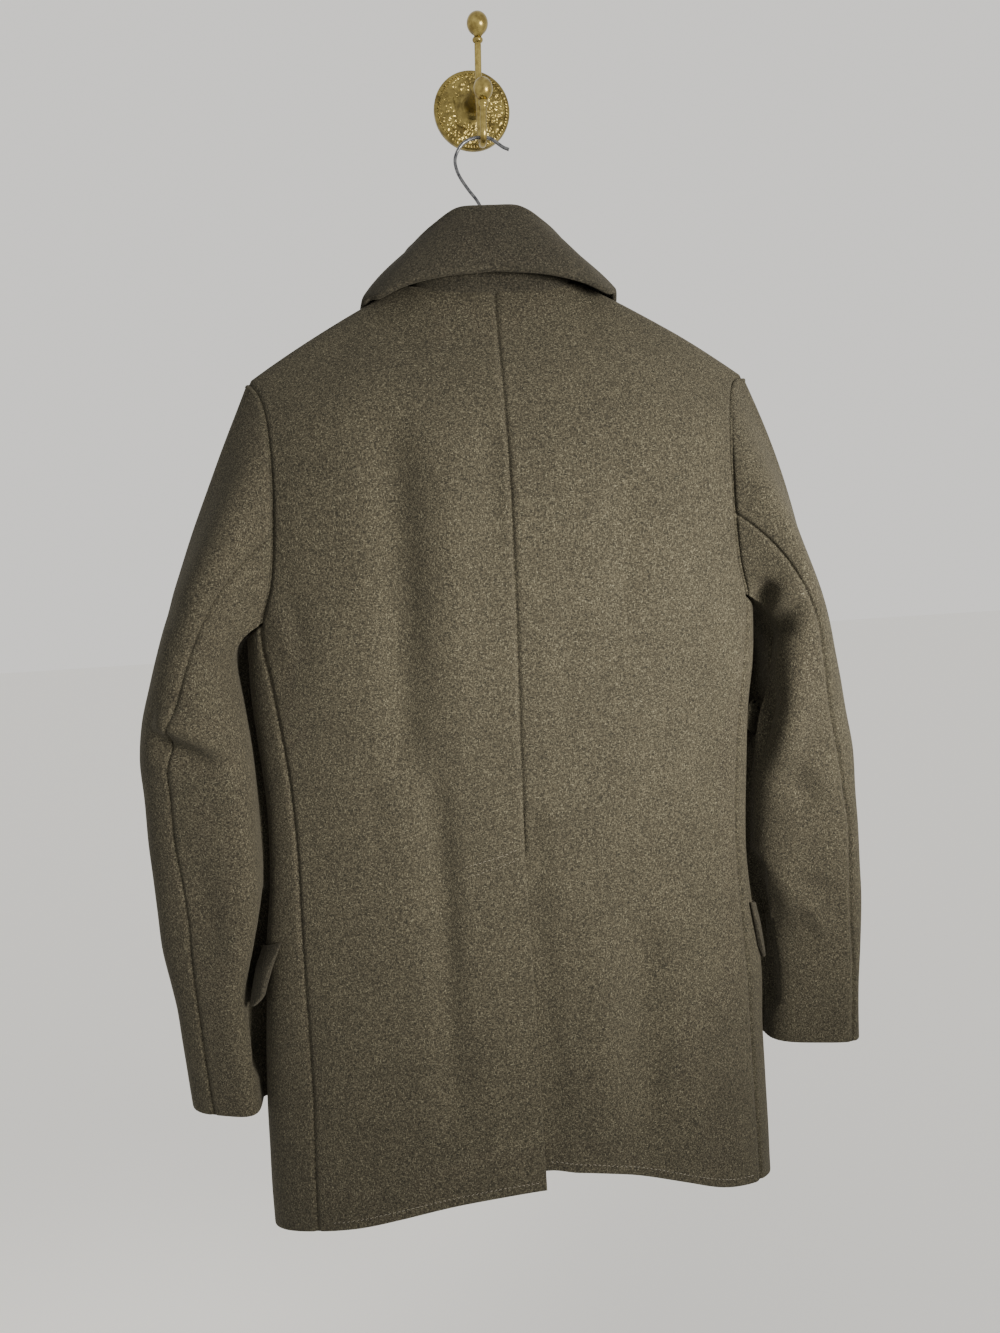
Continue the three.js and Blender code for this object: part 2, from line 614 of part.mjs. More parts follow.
// Corners of the lapels as [x, z], x from the centre towards the lapel's own side. The right one ends where
// the left front covers it.
const LAPEL = {
  [LEFT]: { rollEnd: [-66, -335], end: [-58, -340] },
  [RIGHT]: { rollEnd: [4, -253], end: [34, -291] },
};
const LAPEL_ROLL_TOP = [38, -213];
const LAPEL_NOTCH = [92, -260];
const LAPEL_TIP = [130, -246];
const LAPEL_BELLY = [9, 6];         // how far its outer edge bows out and up
function lapelGrids(side) {
  const { rollEnd, end } = LAPEL[side];
  const mix = (a, b, f) => [lerp(a[0], b[0], f), lerp(a[1], b[1], f)];
  const rim = (f) => mix(LAPEL_TIP, end, f).map((v, i) => v + LAPEL_BELLY[i] * sin(PI * f));
  const top = (u) => mix(mix(LAPEL_ROLL_TOP, LAPEL_NOTCH, u), mix(LAPEL_NOTCH, LAPEL_TIP, u), u);
  const at = (u, v) => (v === 0 ? top(u) : mix(mix(LAPEL_ROLL_TOP, rollEnd, v), rim(v), u));
  const grid = (lift) => steps(0, 1, 8).map((v) => steps(0, 1, 5).map((u) => {
    const [x, z] = at(u, v);
    return onFront(side, x, z, lift);
  }));
  return [grid(SEAM_GAP + CLOTH), grid(SEAM_GAP)];
}

// Pocket flaps: they start on the front, at frontFrom of its width, cross the side-front seam at turn of
// their own length and end on the side panel, between endTop and endBottom of its width. Their lower edge
// stands off, and their hind end curls away from the body.
const FLAP = {
  top: -746, bottom: -801, frontFrom: 0.62, turn: 0.45, endTop: 0.12, endBottom: 0.2, curlFrom: 0.78,
};
const FLAP_STAND_OFF = { [LEFT]: 3.5, [RIGHT]: 1 };
const FLAP_CURL = { [LEFT]: 10.5, [RIGHT]: 2.5 };
function flapGrids(side) {
  const around = (u, v, lift) => {
    const z = lerp(FLAP.top, FLAP.bottom, v);
    const t = 2 + (z - ARMPIT_Z) / (FRONT_HEM[side] - ARMPIT_Z);
    if (u < FLAP.turn) {
      const x = lerp(FLAP.frontFrom, 1, u / FLAP.turn) * edgeX(side, t, true);
      return onFront(side, x, z, lift);
    }
    const surface = sideSurface(side);
    const end = lerp(FLAP.endTop, FLAP.endBottom, v);
    const s = lerp(1, end, (u - FLAP.turn) / (1 - FLAP.turn));
    const normal = normalOf(surface, s, t, 1e-3, 1e-3).multiplyScalar(outwardBack(side));
    return surface(s, t).addScaledVector(normal, lift);
  };
  const grid = (base) => steps(0, 1, 5).map((v) => steps(0, 1, 14).map((u) => {
    const open = FLAP_STAND_OFF[side] * v * smooth(u / 0.8);
    const curl = FLAP_CURL[side] * v * (2 - v) * smooth((u - FLAP.curlFrom) / (1 - FLAP.curlFrom));
    return around(u, v, base + open + curl);
  }));
  return [grid(FLAP_GAP + FLAP_CLOTH), grid(FLAP_GAP)];
}

// ---------------------------------------------------------------- buttons
function buttonGeometry() {
  const rim = 1.2;
  const dish = 0.8;
  const r = BUTTON_RADIUS;
  const h = BUTTON_HEIGHT;
  const outline = [[0, 0], [r - rim, 0], [r, rim], [r, h - rim], [r - rim, h], [r - 3, h],
    [r - 4.5, h - dish], [0, h - dish]];
  return new THREE.LatheGeometry(outline.map(([x, y]) => new THREE.Vector2(x, y)), 20);
}

// ---------------------------------------------------------------- wall hook
function plateGeometry() {
  const r = PLATE_RADIUS;
  const neckEnd = PRONG_DEPTH - 4.4;
  const outline = [[0, 0], [r, 0], [r, 4], [r - 1.5, 6], [r - 3.5, 6.2], [r - 5, 4.6], [16, 6], [10.5, 9],
    [8, 12], [6, 18], [5, 30], [5, neckEnd], [0, neckEnd]];
  return new THREE.LatheGeometry(outline.map(([x, y]) => new THREE.Vector2(x, y)), 36);
}

// Stations of a rod that ends in a ball, from the neck of the ball to its top.
function ballEnd(centre, radius, stretch, direction) {
  const stations = steps(0.16, 1, 8).map((f) => -cos(PI * f));
  return stations.map((c) => ({
    point: centre.clone().addScaledVector(direction, c * radius * stretch),
    radius: max(0.6, radius * sqrt(max(0, 1 - c * c))),
  }));
}
function upperProng() {
  const up = vec(0, 0, 1);
  const at = (z, radius) => {
    const lean = 0.16 * max(0, z - 8);
    return { point: vec(HOOK_X + (z - 4) * 0.02, -PRONG_DEPTH - lean, z), radius };
  };
  const stem = [at(0.3, ROD), at(8, ROD), at(20, ROD), at(32, ROD * 0.95)];
  const ring = [at(33, 4.2), at(35, 4.6), at(36.6, 4.2), at(37.4, 3.4)];
  return [...stem, ...ring, ...ballEnd(at(47, 1).point, 9.2, 1.02, up)];
}
function lowerProng() {
  const bend = (TIP_DEPTH - PRONG_DEPTH) / 2;
  const centreY = -(TIP_DEPTH + PRONG_DEPTH) / 2;
  const centreZ = CRADLE_Z + bend;
  const hind = [-0.3, -20].map((z) => ({ point: vec(HOOK_X, -PRONG_DEPTH, z), radius: 3.6 }));
  const cradle = steps(0, 1, 12).map((f) => {
    const point = vec(HOOK_X, centreY + bend * cos(PI * f), centreZ - bend * sin(PI * f));
    return { point, radius: lerp(3.4, 2.8, f) };
  });
  const at = (z, radius) => ({ point: vec(HOOK_X + 1.5 * smooth((z + 43) / 30), -TIP_DEPTH, z), radius });
  const ring = [at(-24.6, 2.8), at(-24, 3.8), at(-22.4, 4.3), at(-20.8, 3.8), at(-20.2, 3.2)];
  return [...hind, ...cradle, ...ring, ...ballEnd(at(-11, 1).point, 8.3, 1.12, vec(0, 0, 1))];
}

// ---------------------------------------------------------------- hanger
// One bent wire: the hook's tip, its neck, the right shoulder, the bottom bar, the left shoulder, and a few
// turns back round the neck.
function hangerPoints() {
  const depth = (TIP_DEPTH + PRONG_DEPTH) / 2;
  const wireTop = CRADLE_Z + ROD + 0.3 + WIRE_RADIUS;
  const at = (x, z, d = depth) => vec(x, -d, z);
  const hook = [[24, -57.5], [19, -55.5], [14, -52], [9, wireTop - 1.2], [4, wireTop], [-2, wireTop],
    [-8, wireTop - 1], [-15, -51.5], [-20.5, -57.5], [-23.6, -65.5], [-22.6, -74], [-19, -82], [-13, -91],
    [-6.5, -99.5], [-2, -109], [0, -120], [0, -152]];
  const points = hook.map(([x, z]) => at(x, z));
  const under = (side, x) => {
    const slope = (crest(side, x + 1) - crest(side, x - 1)) / 2;
    return crest(side, x) - (CLOTH + HANGER_GAP + WIRE_RADIUS) * sqrt(1 + slope * slope);
  };
  const straightTo = HANGER_REACH - 14;
  const shoulder = (side) => (
    steps(NECK_HALF + 8, straightTo, 6).map((x) => at(COAT_X + side * x, under(side, x))));
  const corner = (side) => {
    const bend = [[5, 8], [0, 16], [3, 24], [12, 28]];
    const z = under(side, straightTo);
    return bend.map(([short, drop]) => at(COAT_X + side * (HANGER_REACH - short), z - drop));
  };
  points.push(at(3, -160), at(14, -166, depth - 1), at(40, -174));
  points.push(...shoulder(RIGHT), ...corner(RIGHT), ...corner(LEFT).reverse(), ...shoulder(LEFT).reverse());
  points.push(at(-44, -176), at(-16, -167, depth + 2), at(-5, -160, depth + 3.4));
  const turns = 3;
  const around = 2 * WIRE_RADIUS + 0.4;
  for (const f of steps(0.02, 1, turns * 10)) {
    const turn = 2 * PI * turns * f + PI / 2;
    points.push(vec(-around * cos(turn), -depth - around * sin(turn), lerp(-156, -132, f)));
  }
  return points;
}

// ---------------------------------------------------------------- assembly
const wool = (tint) => new THREE.MeshStandardMaterial({ color: tint, roughness: 0.95, metalness: 0 });
const melton = wool('#4f4a3b');
const meltonDark = wool('#453f33');
const brass = new THREE.MeshStandardMaterial({ color: '#b09a5c', roughness: 0.35, metalness: 1 });
const steel = new THREE.MeshStandardMaterial({ color: '#6b6c70', roughness: 0.4, metalness: 1 });
const horn = new THREE.MeshStandardMaterial({ color: '#2b231c', roughness: 0.45, metalness: 0 });

const group = new THREE.Group();
function add(name, geometry, material) {
  const mesh = new THREE.Mesh(geometry, material);
  mesh.name = name;
  group.add(mesh);
  return mesh;
}

for (const side of [LEFT, RIGHT]) {
  const label = sideKey(side);
  const out = outwardBack(side);
  add(`back_${label}`, panel(backSurface(side), steps(0, 1, 11), BODY_ROWS, { outward: out }), melton);
  add(`side_${label}`, panel(sideSurface(side), SIDE_COLUMNS, LOWER_ROWS, { outward: out }), melton);
  add(`front_${label}`, panel(frontSurface(side), steps(0, 1, 8), BODY_ROWS, { outward: -out }), melton);
  add(`lapel_${label}`, wall(...lapelGrids(side)), meltonDark);
  add(`flap_${label}`, wall(...flapGrids(side)), meltonDark);
  const sleeve = sleeveGrids(side);
  add(`sleeve_${label}_top`, wall(...sleeve.top), melton);
  add(`sleeve_${label}_under`, wall(...sleeve.under), meltonDark);
}
add('collar', wall(...collarGrids()), meltonDark);

BUTTON_ROWS.forEach((z, row) => {
  for (const side of [LEFT, RIGHT]) {
    const button = add(`button_${row * 2 + (side === LEFT ? 1 : 2)}`, buttonGeometry(), horn);
    // Both columns sit on the left front, which reaches past the centre.
    button.position.copy(onFront(LEFT, side === LEFT ? BUTTON_X : -BUTTON_X, z, SEAM_GAP));
    button.position.y += BUTTON_RISE;
  }
});

add('wall_plate', plateGeometry(), brass).rotation.x = PI;
const asBar = (list, sides) => bar(list.map((s) => s.point), list.map((s) => s.radius), sides);
add('upper_prong', asBar(upperProng(), 12), brass);
add('lower_prong', asBar(lowerProng(), 12), brass);
const wire = hangerPoints();
add('hanger', bar(wire, wire.map(() => WIRE_RADIUS), 8), steel);

export default group;
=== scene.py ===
# %% [markdown]
# # A wool peacoat on a wire hanger, on a brass wall hook
# The coat hangs with its fronts to the wall and its back to the room, as a maker would hang it to look at the
# cut of the back. Each maker's piece is a thin shell of cloth on the form of its own solid, with its creases
# given one by one. The hook and the hanger are turned and bent metal. Lengths in the tables are millimetres.
# -Y is towards the room, +Z is up, and left and right are the wearer's.

# %% Load the frame
import math
import bpy
import numpy as np
from mathutils import Matrix, Vector


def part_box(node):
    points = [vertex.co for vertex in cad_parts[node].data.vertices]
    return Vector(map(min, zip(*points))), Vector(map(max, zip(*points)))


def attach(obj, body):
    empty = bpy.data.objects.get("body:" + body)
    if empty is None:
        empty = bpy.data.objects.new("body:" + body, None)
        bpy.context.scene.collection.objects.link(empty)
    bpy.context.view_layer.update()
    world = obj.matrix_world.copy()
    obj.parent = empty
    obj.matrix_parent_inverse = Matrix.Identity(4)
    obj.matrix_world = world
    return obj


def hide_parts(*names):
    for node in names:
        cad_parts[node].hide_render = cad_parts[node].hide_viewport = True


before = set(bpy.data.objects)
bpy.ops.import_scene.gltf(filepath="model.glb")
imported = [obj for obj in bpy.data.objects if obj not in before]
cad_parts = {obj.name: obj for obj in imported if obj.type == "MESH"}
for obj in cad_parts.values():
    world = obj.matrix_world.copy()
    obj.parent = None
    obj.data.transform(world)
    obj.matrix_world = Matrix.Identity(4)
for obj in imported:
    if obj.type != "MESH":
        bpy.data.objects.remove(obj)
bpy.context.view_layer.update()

# %% [markdown]
# ## Camera
# A camera is a place, three axes and a lens. Blender's camera looks along its own -Z with +Y up, so the axes
# are the columns of its matrix. The lens follows from the focal length and the frame's height in pixels.

# %% Camera
EYE = (-0.108, -0.966, -0.410)
YAW, PITCH, ROLL = (math.radians(a) for a in (6.3, -6.18, -3.09))
FOCAL_PIXELS, TALL_PIXELS, SENSOR = 999, 1333, 36

ahead = Vector((math.sin(YAW) * math.cos(PITCH), math.cos(YAW) * math.cos(PITCH), math.sin(PITCH)))
level = Vector((math.cos(YAW), -math.sin(YAW), 0))
above = level.cross(ahead)
across = level * math.cos(ROLL) + above * math.sin(ROLL)
upward = above * math.cos(ROLL) - level * math.sin(ROLL)

camera = bpy.data.objects.new("camera", bpy.data.cameras.new("camera"))
camera.data.sensor_width = SENSOR
camera.data.lens = FOCAL_PIXELS / TALL_PIXELS * SENSOR
camera.data.clip_start = 0.02
turn = Matrix((across, upward, -ahead)).transposed()
camera.matrix_world = Matrix.Translation(EYE) @ turn.to_4x4()
bpy.context.collection.objects.link(camera)
bpy.context.scene.camera = camera
print("lens", round(camera.data.lens, 2), "mm at", EYE)

# %% [markdown]
# ## Small helpers
# Every surface here is a grid of points that numpy works out at once. A table of sizes becomes a smooth
# curve with Hermite pieces, the same rule that drew the solids, so the cloth stays within millimetres of them.

# %% Helpers for curves and grids
LEFT, RIGHT = -1, 1
SIDE_NAME = {LEFT: "left", RIGHT: "right"}
MM = 0.001


def lerp(a, b, f):
    return a + (b - a) * f


def smooth(f):
    t = np.clip(f, 0, 1)
    return t * t * (3 - 2 * t)


def curve(rows, column):
    """A smooth curve through one column of a table, read against its first column."""
    rows = sorted(rows)
    x = np.array([row[0] for row in rows], float)
    y = np.array([row[column] for row in rows], float)
    slope = np.diff(y) / np.diff(x)
    tangent = np.concatenate([slope[:1], (slope[:-1] + slope[1:]) / 2, slope[-1:]])

    def at(v):
        v = np.asarray(v, float)
        k = np.clip(np.searchsorted(x, v, side="right") - 1, 0, len(x) - 2)
        span = x[k + 1] - x[k]
        f = np.clip((v - x[k]) / span, 0, 1)
        g = 1 - f
        return (y[k] * (1 + 2 * f) * g * g + tangent[k] * span * f * g * g
                + y[k + 1] * f * f * (3 - 2 * f) - tangent[k + 1] * span * f * f * g)

    return at


def unit(v):
    return v / np.maximum(np.linalg.norm(v, axis=-1, keepdims=True), 1e-9)


def normals_of(grid):
    """Unit normals of a grid of points, from its neighbours."""
    down, along = np.gradient(grid, axis=0), np.gradient(grid, axis=1)
    return unit(np.cross(along, down))


def run(grid, axis):
    """Distance along the grid's lines from their start and from their end."""
    step = np.linalg.norm(np.diff(grid, axis=axis), axis=-1)
    zero = np.zeros_like(np.take(step, [0], axis=axis))
    from_start = np.concatenate([zero, np.cumsum(step, axis=axis)], axis=axis)
    return from_start, np.take(from_start, [-1], axis=axis) - from_start


# %% [markdown]
# ## From a grid to an object
# A mesh is a list of points and a list of faces. Two grids, the face and the lining side of the cloth, are
# closed with a strip round the rim. Smooth shading hides the facets, and edges over 50 degrees stay crisp.

# %% Helpers for meshes
def mesh_object(name, points_mm, faces, material, sharp=50):
    mesh = bpy.data.meshes.new(name)
    mesh.from_pydata((np.asarray(points_mm, float) * MM).tolist(), [], faces)
    mesh.polygons.foreach_set("use_smooth", [True] * len(mesh.polygons))
    mesh.set_sharp_from_angle(angle=math.radians(sharp))
    mesh.materials.append(material)
    obj = bpy.data.objects.new(name, mesh)
    bpy.context.collection.objects.link(obj)
    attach(obj, "root")
    return obj


def shell_faces(rows, cols):
    """Faces of two grids of points, one after the other, closed round the rim."""
    index = np.arange(rows * cols).reshape(rows, cols)
    back = index + rows * cols
    quads = [np.stack([index[:-1, :-1], index[:-1, 1:], index[1:, 1:], index[1:, :-1]], -1).reshape(-1, 4),
             np.stack([back[:-1, :-1], back[1:, :-1], back[1:, 1:], back[:-1, 1:]], -1).reshape(-1, 4)]
    for line, other in ((index[0], back[0]), (index[-1][::-1], back[-1][::-1]),
                        (index[::-1, 0], back[::-1, 0]), (index[:, -1], back[:, -1])):
        quads.append(np.stack([line[:-1], other[:-1], other[1:], line[1:]], -1))
    return np.concatenate(quads).tolist()


def tube_faces(rings, sides, closed=False):
    """Faces of rings of points along a bar, with fans at its two ends."""
    index = np.arange(rings * sides).reshape(rings, sides)
    nxt = np.roll(index, -1, axis=1)
    faces = np.stack([index[:-1], nxt[:-1], nxt[1:], index[1:]], -1).reshape(-1, 4).tolist()
    if not closed:
        faces += [index[0][::-1].tolist(), index[-1].tolist()]
    return faces

# %% [markdown]
# ## Wool melton
# Melton is woven from carded wool, then fulled and raised until no weave shows: a dense felt of short fibres.
# The yarn was spun from wool of several browns, so the cloth is heathered, with flecks 1 to 3 mm long of
# lighter and darker fibre. The base colour mixes three noises at those sizes, and the bump has the same
# grain. Raised fibres catch light at the edge of a fold, which is what the sheen lobe does. A single fibre
# is 0.02 mm wide, too fine to show, so the streaks are drawn about 0.5 mm wide.

# %% Helpers for materials
def srgb(text):
    """An sRGB hex colour as linear values."""
    parts = [int(text[i:i + 2], 16) / 255 for i in (1, 3, 5)]
    return [p / 12.92 if p <= 0.04045 else ((p + 0.055) / 1.055) ** 2.4 for p in parts] + [1.0]


def new_material(name):
    material = bpy.data.materials.new(name)
    material.use_nodes = True
    material.node_tree.nodes.clear()
    return material


def add_node(material, kind, settings=None, inputs=None):
    """One node with its settings; an input is a value, or a (node, socket) that links to it."""
    node = material.node_tree.nodes.new("ShaderNode" + kind)
    for key, value in (settings or {}).items():
        setattr(node, key, value)
    for key, value in (inputs or {}).items():
        if isinstance(value, tuple) and isinstance(value[0], bpy.types.Node):
            material.node_tree.links.new(value[0].outputs[value[1]], node.inputs[key])
        else:
            node.inputs[key].default_value = value
    return node


def ramp(material, source, stops):
    """A colour ramp fed by a (node, socket), with (position, hex colour) stops."""
    node = add_node(material, "ValToRGB", inputs={"Fac": source})
    while len(node.color_ramp.elements) < len(stops):
        node.color_ramp.elements.new(0.5)
    for element, (position, colour) in zip(node.color_ramp.elements, stops):
        element.position, element.color = position, srgb(colour)
    return node


def noise(material, place, size_mm, detail=2.0, roughness=0.5, distortion=0.0):
    """A noise whose grain has this size."""
    return add_node(material, "TexNoise", inputs={"Vector": place, "Scale": 1000 / size_mm, "Detail": detail,
                                                  "Roughness": roughness, "Distortion": distortion})


def remap(material, source, to_min, to_max, from_min=0.0, from_max=1.0):
    """Stretches a value from one range to another."""
    return add_node(material, "MapRange", inputs={"Value": source, "From Min": from_min, "From Max": from_max,
                                                  "To Min": to_min, "To Max": to_max})


def surface(material, inputs):
    """The shader that a material ends in."""
    shader = add_node(material, "BsdfPrincipled", inputs=inputs)
    add_node(material, "OutputMaterial", inputs={"Surface": (shader, 0)})
    return material


# %% Melton wool
FLECK_MM, STREAK_MM, MOTTLE_MM = 1.6, 0.55, 45


def melton(name, dark, middle, light, fleck):
    m = new_material(name)
    place = add_node(m, "TexCoord"), "Object"
    felt = noise(m, place, FLECK_MM, roughness=0.65)
    mottle = noise(m, place, MOTTLE_MM, detail=3.0, roughness=0.6)
    ground = ramp(m, (felt, "Fac"), [(0.30, dark), (0.5, middle), (0.72, light)])
    streaks = []
    for turn_xyz, shape in (((0.3, 0.2, 0.5), (1, 1, 0.22)), ((0.9, -0.4, 0.1), (0.22, 1, 1))):
        lay = add_node(m, "Mapping", inputs={"Vector": place, "Rotation": turn_xyz, "Scale": shape})
        streaks.append(noise(m, (lay, "Vector"), STREAK_MM, detail=1.0))
    both = add_node(m, "Math", {"operation": "MAXIMUM"}, {0: (streaks[0], "Fac"), 1: (streaks[1], "Fac")})
    shown = remap(m, (both, 0), 0.0, 0.55, 0.6, 0.78)
    heather = add_node(m, "Mix", {"data_type": "RGBA"}, {0: (shown, 0), 6: (ground, 0), 7: srgb(fleck)})
    tone = remap(m, (mottle, "Fac"), 0.9, 1.08, 0.3, 0.7)
    toned = add_node(m, "VectorMath", {"operation": "SCALE"}, {0: (heather, 2), "Scale": (tone, 0)})
    grain = add_node(m, "Math", {"operation": "ADD"}, {0: (felt, "Fac"), 1: (both, 0)})
    bump = add_node(m, "Bump", inputs={"Height": (grain, 0), "Distance": 0.0006, "Strength": 0.55})
    return surface(m, {"Base Color": (toned, 0), "Normal": (bump, 0), "Roughness": 0.95,
                       "Specular IOR Level": 0.2, "Sheen Weight": 0.12, "Sheen Roughness": 0.5,
                       "Sheen Tint": srgb("#a8a08c")})


wool = melton("melton_wool", "#12110c", "#27241b", "#3e3a2e", "#787460")
# The same melton made darker throughout, which is painted shade. It is used for the collar, the lapels and the
# pocket flaps.
shade_painted_wool = melton("melton_wool_painted_shade", "#0f0e0a", "#201e17", "#353127", "#605c4d")
print("melton flecks", FLECK_MM, "mm, streaks", STREAK_MM, "mm")

# %% [markdown]
# ## The cloth's form
# A coat is cut as flat panels, but what gives it shape on the hanger is its sections: a flat rounded oval at
# every height. The tables below hold those sections, the seams' places and the hem, and each panel is the
# part of that form between its seams.

# %% Sizes of the coat
CLOTH = 3          # thickness of the melton
COLLAR_CLOTH = 5   # two layers
FLAP_CLOTH, FLAP_ROOT_CLOTH, FLAP_GAP = {LEFT: 6, RIGHT: 4}, 2.5, 1   # thin where it is sewn on
LAY_GAP = 0.4      # between a piece and what it lies on
COAT_X = 1.5
NECK_HALF, NECK_POINT_Z, NECK_BACK_Z, NECK_BACK_TURN = 75, -170, -180, math.pi / 3
SHOULDER_BULGE, BACK_ROUND, FRONT_ROUND = 4, 100, 90
ARMPIT_Z, ARMPIT_SAG, FRONT_SEAM_IN, SQUARENESS = -456, 12, 8, 2.4
TACK_Z, VENT_UNDERLAP, LAP_STEP, VENT_STEP = -676, 35, 4, 5
BREAK_Z, FRONT_OVERLAP = -345, 75
SHOULDER_TIP = {LEFT: (216, -248), RIGHT: (228, -257)}
FRONT_HEM, SIDE_HEM_SAG = {LEFT: -1022, RIGHT: -1021}, 6

# z, half width left, half width right, distance from the wall of the side, of the back and of the front
TORSO = [
    (-130, 238, 244, 62, 88, 44), (-190, 238, 244, 62, 90, 40), (-220, 238, 244, 62, 96, 37),
    (-250, 238, 243, 62, 107, 34), (-300, 236, 238, 62, 121, 28), (-350, 234, 234, 62, 127, 23),
    (-400, 233, 231, 62, 127, 20), (-456, 233, 229, 62, 123, 18), (-510, 234, 228, 62, 116, 18),
    (-560, 232, 223, 61, 109, 20), (-620, 229, 220, 60, 103, 22), (-690, 231, 218, 60, 100, 22),
    (-750, 239, 222, 60, 109, 20), (-810, 243, 229, 60, 117, 18), (-880, 248, 229, 60, 124, 16),
    (-950, 250, 230, 60, 130, 15), (-1030, 251, 232, 60, 133, 15),
]
# z, then how far the back's outer edge lies from the centre seam, left and right
BACK_EDGE = [
    (-248, 216, 233), (-257, 211, 228), (-266, 207, 218), (-285, 202, 210), (-310, 199, 205),
    (-340, 198, 202), (-370, 199, 202), (-400, 202, 204), (-427, 207, 208), (-456, 217, 217),
    (-475, 218, 217), (-500, 214, 215), (-545, 209, 211), (-590, 205, 207), (-650, 203, 204),
    (-720, 204, 205), (-800, 204, 207), (-880, 204, 209), (-945, 206, 210), (-1030, 208, 212),
]
# distance from the centre seam, then the height of the back's hem, left and right
BACK_HEM = [
    (-40, -977, -961), (0, -977, -962), (40, -979, -966), (80, -983, -974), (130, -992, -991),
    (170, -1000, -1007), (207, -1005, -1016),
]
# x, top, bottom, width, depth of the back's largest folds
FOLDS = [
    (-100, -268, -620, 18, 8), (-14, -270, -430, 13, 4), (-52, -280, -600, 20, -4), (97, -300, -500, 16, 2.5),
    (-165, -430, -560, 26, -3), (-76, -560, -930, 17, 6), (100, -720, -960, 22, 7), (60, -700, -990, 24, -4),
]

side_column = {LEFT: 1, RIGHT: 2}
half_width = {s: curve(TORSO, side_column[s]) for s in (LEFT, RIGHT)}
side_depth, back_depth, front_depth = (curve(TORSO, k) for k in (3, 4, 5))
back_edge = {s: curve(BACK_EDGE, side_column[s]) for s in (LEFT, RIGHT)}
back_hem = {s: curve(BACK_HEM, side_column[s]) for s in (LEFT, RIGHT)}
side_hem = {s: {False: float(back_hem[s](207)), True: FRONT_HEM[s]} for s in (LEFT, RIGHT)}


# %% The torso as one surface
def profile(ratio):
    return np.maximum(1e-6, 1 - np.minimum(1, np.abs(ratio)) ** SQUARENESS) ** (1 / SQUARENESS)


def crest(side, x):
    """Height of the shoulder line at a distance from the centre."""
    tip_x, tip_z = SHOULDER_TIP[side]
    f = np.maximum(0, (x - NECK_HALF) / (tip_x - NECK_HALF))
    return lerp(NECK_POINT_Z, tip_z, f) + SHOULDER_BULGE * np.sin(math.pi * np.minimum(1, f))


def neck_turn(x):
    return NECK_BACK_TURN * np.sqrt(np.maximum(0, 1 - np.minimum(1, np.abs(x) / NECK_HALF) ** 2))


def back_crest(side, x):
    across_neck = np.minimum(1, np.abs(x) / NECK_HALF)
    at_neck = lerp(NECK_BACK_Z, NECK_POINT_Z, across_neck ** 3) + BACK_ROUND * (1 - np.cos(neck_turn(x)))
    return np.where(across_neck >= 1, crest(side, x), at_neck)


def fold_depth(x, z):
    return sum(depth * smooth((top - z) / 60) * smooth((z - bottom) / 60) * np.exp(-((x - at) / width) ** 2)
               for at, top, bottom, width, depth in FOLDS)


def height_at(t, top, rounding, hem, turned):
    """Height at t: round the shoulder, then straight to the armpit and to the hem."""
    z = top - rounding * (1 - np.cos(turned))
    z = np.where(t > 1, lerp(top - rounding, ARMPIT_Z, t - 1), z)
    return np.where(t > 2, lerp(ARMPIT_Z, hem, t - 2), z)


def torso(side, x, t, front):
    """Points of the back or the fronts. t is 0 to 1 round the shoulder, to 2 at the armpit, 3 at the hem."""
    x, t = np.broadcast_arrays(np.asarray(x, float), np.asarray(t, float))
    turn_top = 0 * x if front else neck_turn(x)
    top = crest(side, x) if front else back_crest(side, x)
    rounding = FRONT_ROUND if front else BACK_ROUND
    turned = np.minimum(math.pi / 2, turn_top + t * (math.pi / 2 - turn_top))
    hem = FRONT_HEM[side] if front else back_hem[side](x)
    z = height_at(t, top, rounding, hem, turned)
    middle = side_depth(z)
    rise = front_depth(z) - middle if front else back_depth(z) - middle
    depth = middle + rise * profile(x / half_width[side](z)) * np.sin(turned)
    if not front:
        depth = depth - fold_depth(side * x, z)
    return np.stack([COAT_X + side * x, -depth, z], -1)


def edge_x(side, t, front):
    """How far from the centre a back or front reaches at the same t."""
    tip_x, tip_z = SHOULDER_TIP[side]
    rounding = FRONT_ROUND if front else BACK_ROUND
    z = height_at(t, tip_z, rounding, side_hem[side][front], np.minimum(t, 1) * math.pi / 2)
    x = back_edge[side](z) - (FRONT_SEAM_IN * smooth(t) if front else 0)
    return np.where(t <= 0, tip_x, x)


print("back at the chest stands", float(back_depth(-400)), "mm off the wall")


# %% Where each panel lies on that surface
def back_surface(side, u, t):
    inner = 0
    if side == RIGHT:
        inner = -VENT_UNDERLAP * smooth((TACK_Z - torso(side, 0 * t, t, False)[..., 2]) / 14)
    x = lerp(inner, edge_x(side, t, False), u)
    points = torso(side, x, t, False)
    if side == RIGHT:
        drop = smooth((TACK_Z + 50 - points[..., 2]) / 20) * smooth((30 - x) / 24)
        points[..., 1] += VENT_STEP * drop
    return points


def front_inner(side, t):
    """The roll line, then the front edge."""
    z = height_at(t, NECK_POINT_Z, FRONT_ROUND, FRONT_HEM[side], np.minimum(t, 1) * math.pi / 2)
    f = np.clip((NECK_POINT_Z - z) / (NECK_POINT_Z - BREAK_Z), 0, 1)
    return lerp(NECK_HALF, -FRONT_OVERLAP, f)


def front_at(side, x, t):
    points = torso(side, x, t, True)
    if side == LEFT:
        points[..., 1] += LAP_STEP * smooth((FRONT_OVERLAP + 70 - x) / 35) * smooth(t / 1.2)
    return points


def front_surface(side, u, t):
    return front_at(side, lerp(front_inner(side, t), edge_x(side, t, True), u), t)


